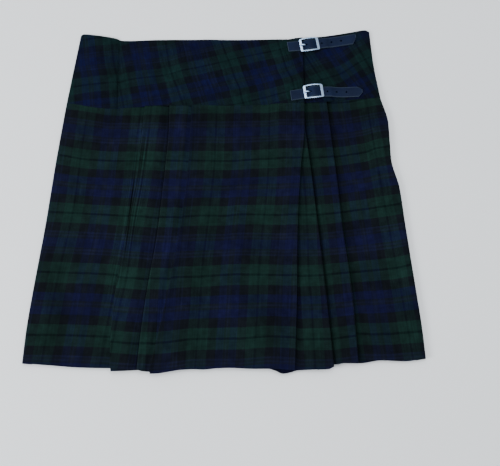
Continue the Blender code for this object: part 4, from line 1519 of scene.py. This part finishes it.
class KiltStage(bpy.types.PropertyGroup):
    floor: colour_setting("Floor", "The pale floor", (0.86, 0.87, 0.88))
    light: FloatProperty(
        name="Light", description="Strength of all the lights", subtype="FACTOR",
        default=1.0, min=0.0, max=5.0,
    )
    lens: FloatProperty(
        name="Lens", description="Focal length of the camera", subtype="DISTANCE_CAMERA", default=56.9,
        min=20.0, max=200.0,
    )


# --- operators ---


def make_cloth(names, material):
    cloth = bpy.context.scene.kilt_cloth
    paths = dict(PATHS, skirt_back=back_path())
    for name in names:
        start, plies = paths[name]
        skirt = name.startswith("skirt")
        step = cloth.row_step / MM
        step = 2.0 * step if name.endswith("back") else step
        obj, flat, area = add_cloth(name + "_cloth", start, plies, cloth.thickness / MM, step, skirt)
        finish_piece(obj, material, [name])


class KILT_OT_skirt(bpy.types.Operator):
    """Make the skirt: its pleated back, the under-apron and the over-apron"""

    bl_idname = "kilt.skirt"
    bl_label = "Skirt"

    def execute(self, context):
        material = tartan("skirt_tartan", context.scene.kilt_tartan, (1.0, 1.0, 1.0), 0.34)
        make_cloth(("skirt_back", "skirt_under_apron", "skirt_over_apron"), material)
        return {"FINISHED"}


class KILT_OT_yoke(bpy.types.Operator):
    """Make the four pieces of the yoke"""

    bl_idname = "kilt.yoke"
    bl_label = "Yoke"

    def execute(self, context):
        settings = context.scene.kilt_tartan
        material = tartan("yoke_tartan", settings, settings.yoke_tint, 0.54)
        names = ("yoke_back", "yoke_under_apron", "yoke_over_apron", "yoke_left_side")
        make_cloth(names, material)
        return {"FINISHED"}


class KILT_OT_straps(bpy.types.Operator):
    """Make the two straps and the chapes that hold their buckles"""

    bl_idname = "kilt.straps"
    bl_label = "Straps and chapes"

    def execute(self, context):
        fittings = context.scene.kilt_fittings
        strap_hide = leather("strap_hide", fittings)
        chape_hide = leather("chape_hide", fittings)
        for strap in STRAPS:
            finish_piece(make_strap(strap), strap_hide, ["strap_" + strap.name])
            finish_piece(make_chape(strap), chape_hide, ["chape_" + strap.name])
        return {"FINISHED"}


class KILT_OT_buckles(bpy.types.Operator):
    """Make the two buckles and their pins"""

    bl_idname = "kilt.buckles"
    bl_label = "Buckles"

    def execute(self, context):
        metal = nickel("buckle_nickel", context.scene.kilt_fittings)
        for strap in STRAPS:
            finish_piece(make_frame(strap), metal, ["buckle_frame_" + strap.name])
            finish_piece(make_pin(strap), metal, ["buckle_pin_" + strap.name])
        return {"FINISHED"}


class KILT_OT_stitches(bpy.types.Operator):
    """Sew the yoke's seam and the ends of the straps"""

    bl_idname = "kilt.stitches"
    bl_label = "Stitches"

    def execute(self, context):
        fittings = context.scene.kilt_fittings
        thread = thread_material("yoke_thread", fittings.stitch)
        finish_piece(seam_stitches(), thread, [])
        thread = thread_material("strap_thread", fittings.strap_stitch)
        for strap in STRAPS:
            finish_piece(strap_stitches(strap), thread, [])
        return {"FINISHED"}


# Soft lights. Columns: place, what it shines at, size, power.
LIGHTS = {
    "overhead": ((0.25, 0.15, 1.9), (0.0, 0.0, 0.0), (1.6, 1.4), 26.0),
    "window": ((-1.7, -0.7, 1.0), (0.0, 0.0, 0.0), (0.9, 0.7), 42.0),
    "glint": ((-0.54, 1.11, 1.30), (0.12, 0.20, 0.0), (0.35, 0.35), 1.6),
}
LIGHT_COLOUR = (0.94, 0.97, 1.0)
WORLD_COLOUR, WORLD_STRENGTH = (0.92, 0.96, 1.0, 1.0), 0.72
CAMERA_PLACE = (0.035, -0.400, 1.043)
CAMERA_TILT = 18.0
SENSOR_WIDTH = 36.0


def add_light(name, place, aim, size, power):
    light = bpy.data.lights.new(name, "AREA")
    light.shape = "RECTANGLE"
    light.size, light.size_y = size
    light.energy = power
    light.color = LIGHT_COLOUR
    obj = add_object(name, light)
    obj.location = place
    obj.rotation_euler = (Vector(aim) - Vector(place)).to_track_quat("-Z", "Y").to_euler()


class KILT_OT_stage(bpy.types.Operator):
    """Set the pale floor, the soft lights and the camera"""

    bl_idname = "kilt.stage"
    bl_label = "Stage"

    def execute(self, context):
        stage = context.scene.kilt_stage
        deselect()
        bpy.ops.mesh.primitive_plane_add(size=8.0, location=(0.0, 0.0, -0.0001))
        floor = context.object
        floor.name = "floor"
        bpy.ops.object.transform_apply(location=True, rotation=True, scale=True)
        floor.data.materials.append(floor_material("floor_paper", stage.floor))
        world = bpy.data.worlds.new("studio")
        world.use_nodes = True
        background = world.node_tree.nodes["Background"]
        background.inputs["Color"].default_value = WORLD_COLOUR
        background.inputs["Strength"].default_value = WORLD_STRENGTH * stage.light
        context.scene.world = world
        for name, (place, aim, size, power) in LIGHTS.items():
            add_light(name, place, aim, size, power * stage.light)
        camera = bpy.data.cameras.new("camera")
        camera.sensor_width = SENSOR_WIDTH
        camera.lens = stage.lens
        camera.clip_start, camera.clip_end = 0.05, 50.0
        obj = add_object("camera", camera)
        obj.location = CAMERA_PLACE
        obj.rotation_euler = (math.radians(CAMERA_TILT), 0.0, 0.0)
        context.scene.camera = obj
        return {"FINISHED"}


OPERATORS = (
    KILT_OT_skirt,
    KILT_OT_yoke,
    KILT_OT_straps,
    KILT_OT_buckles,
    KILT_OT_stitches,
    KILT_OT_stage,
)
SETTINGS = {
    "kilt_cloth": KiltCloth,
    "kilt_tartan": KiltTartan,
    "kilt_fittings": KiltFittings,
    "kilt_stage": KiltStage,
}


class KILT_PT_panel(bpy.types.Panel):
    """The kilt's settings and the pieces to make from them"""

    bl_idname = "KILT_PT_panel"
    bl_label = "Kilt"
    bl_space_type = "VIEW_3D"
    bl_region_type = "UI"
    bl_category = "Kilt"

    def draw(self, context):
        for name, group in SETTINGS.items():
            box = self.layout.box()
            for setting in group.__annotations__:
                box.prop(getattr(context.scene, name), setting)
        for operator in OPERATORS:
            self.layout.operator(operator.bl_idname)


def register():
    for group in (*SETTINGS.values(), *OPERATORS, KILT_PT_panel):
        bpy.utils.register_class(group)
    for name, group in SETTINGS.items():
        setattr(bpy.types.Scene, name, PointerProperty(type=group))


def unregister():
    for name in SETTINGS:
        delattr(bpy.types.Scene, name)
    for group in (KILT_PT_panel, *reversed(OPERATORS), *reversed(tuple(SETTINGS.values()))):
        bpy.utils.unregister_class(group)


def main():
    register()
    bpy.ops.kilt.skirt()
    bpy.ops.kilt.yoke()
    bpy.ops.kilt.straps()
    bpy.ops.kilt.buckles()
    bpy.ops.kilt.stitches()
    bpy.ops.kilt.stage()


if __name__ == "__main__":
    main()
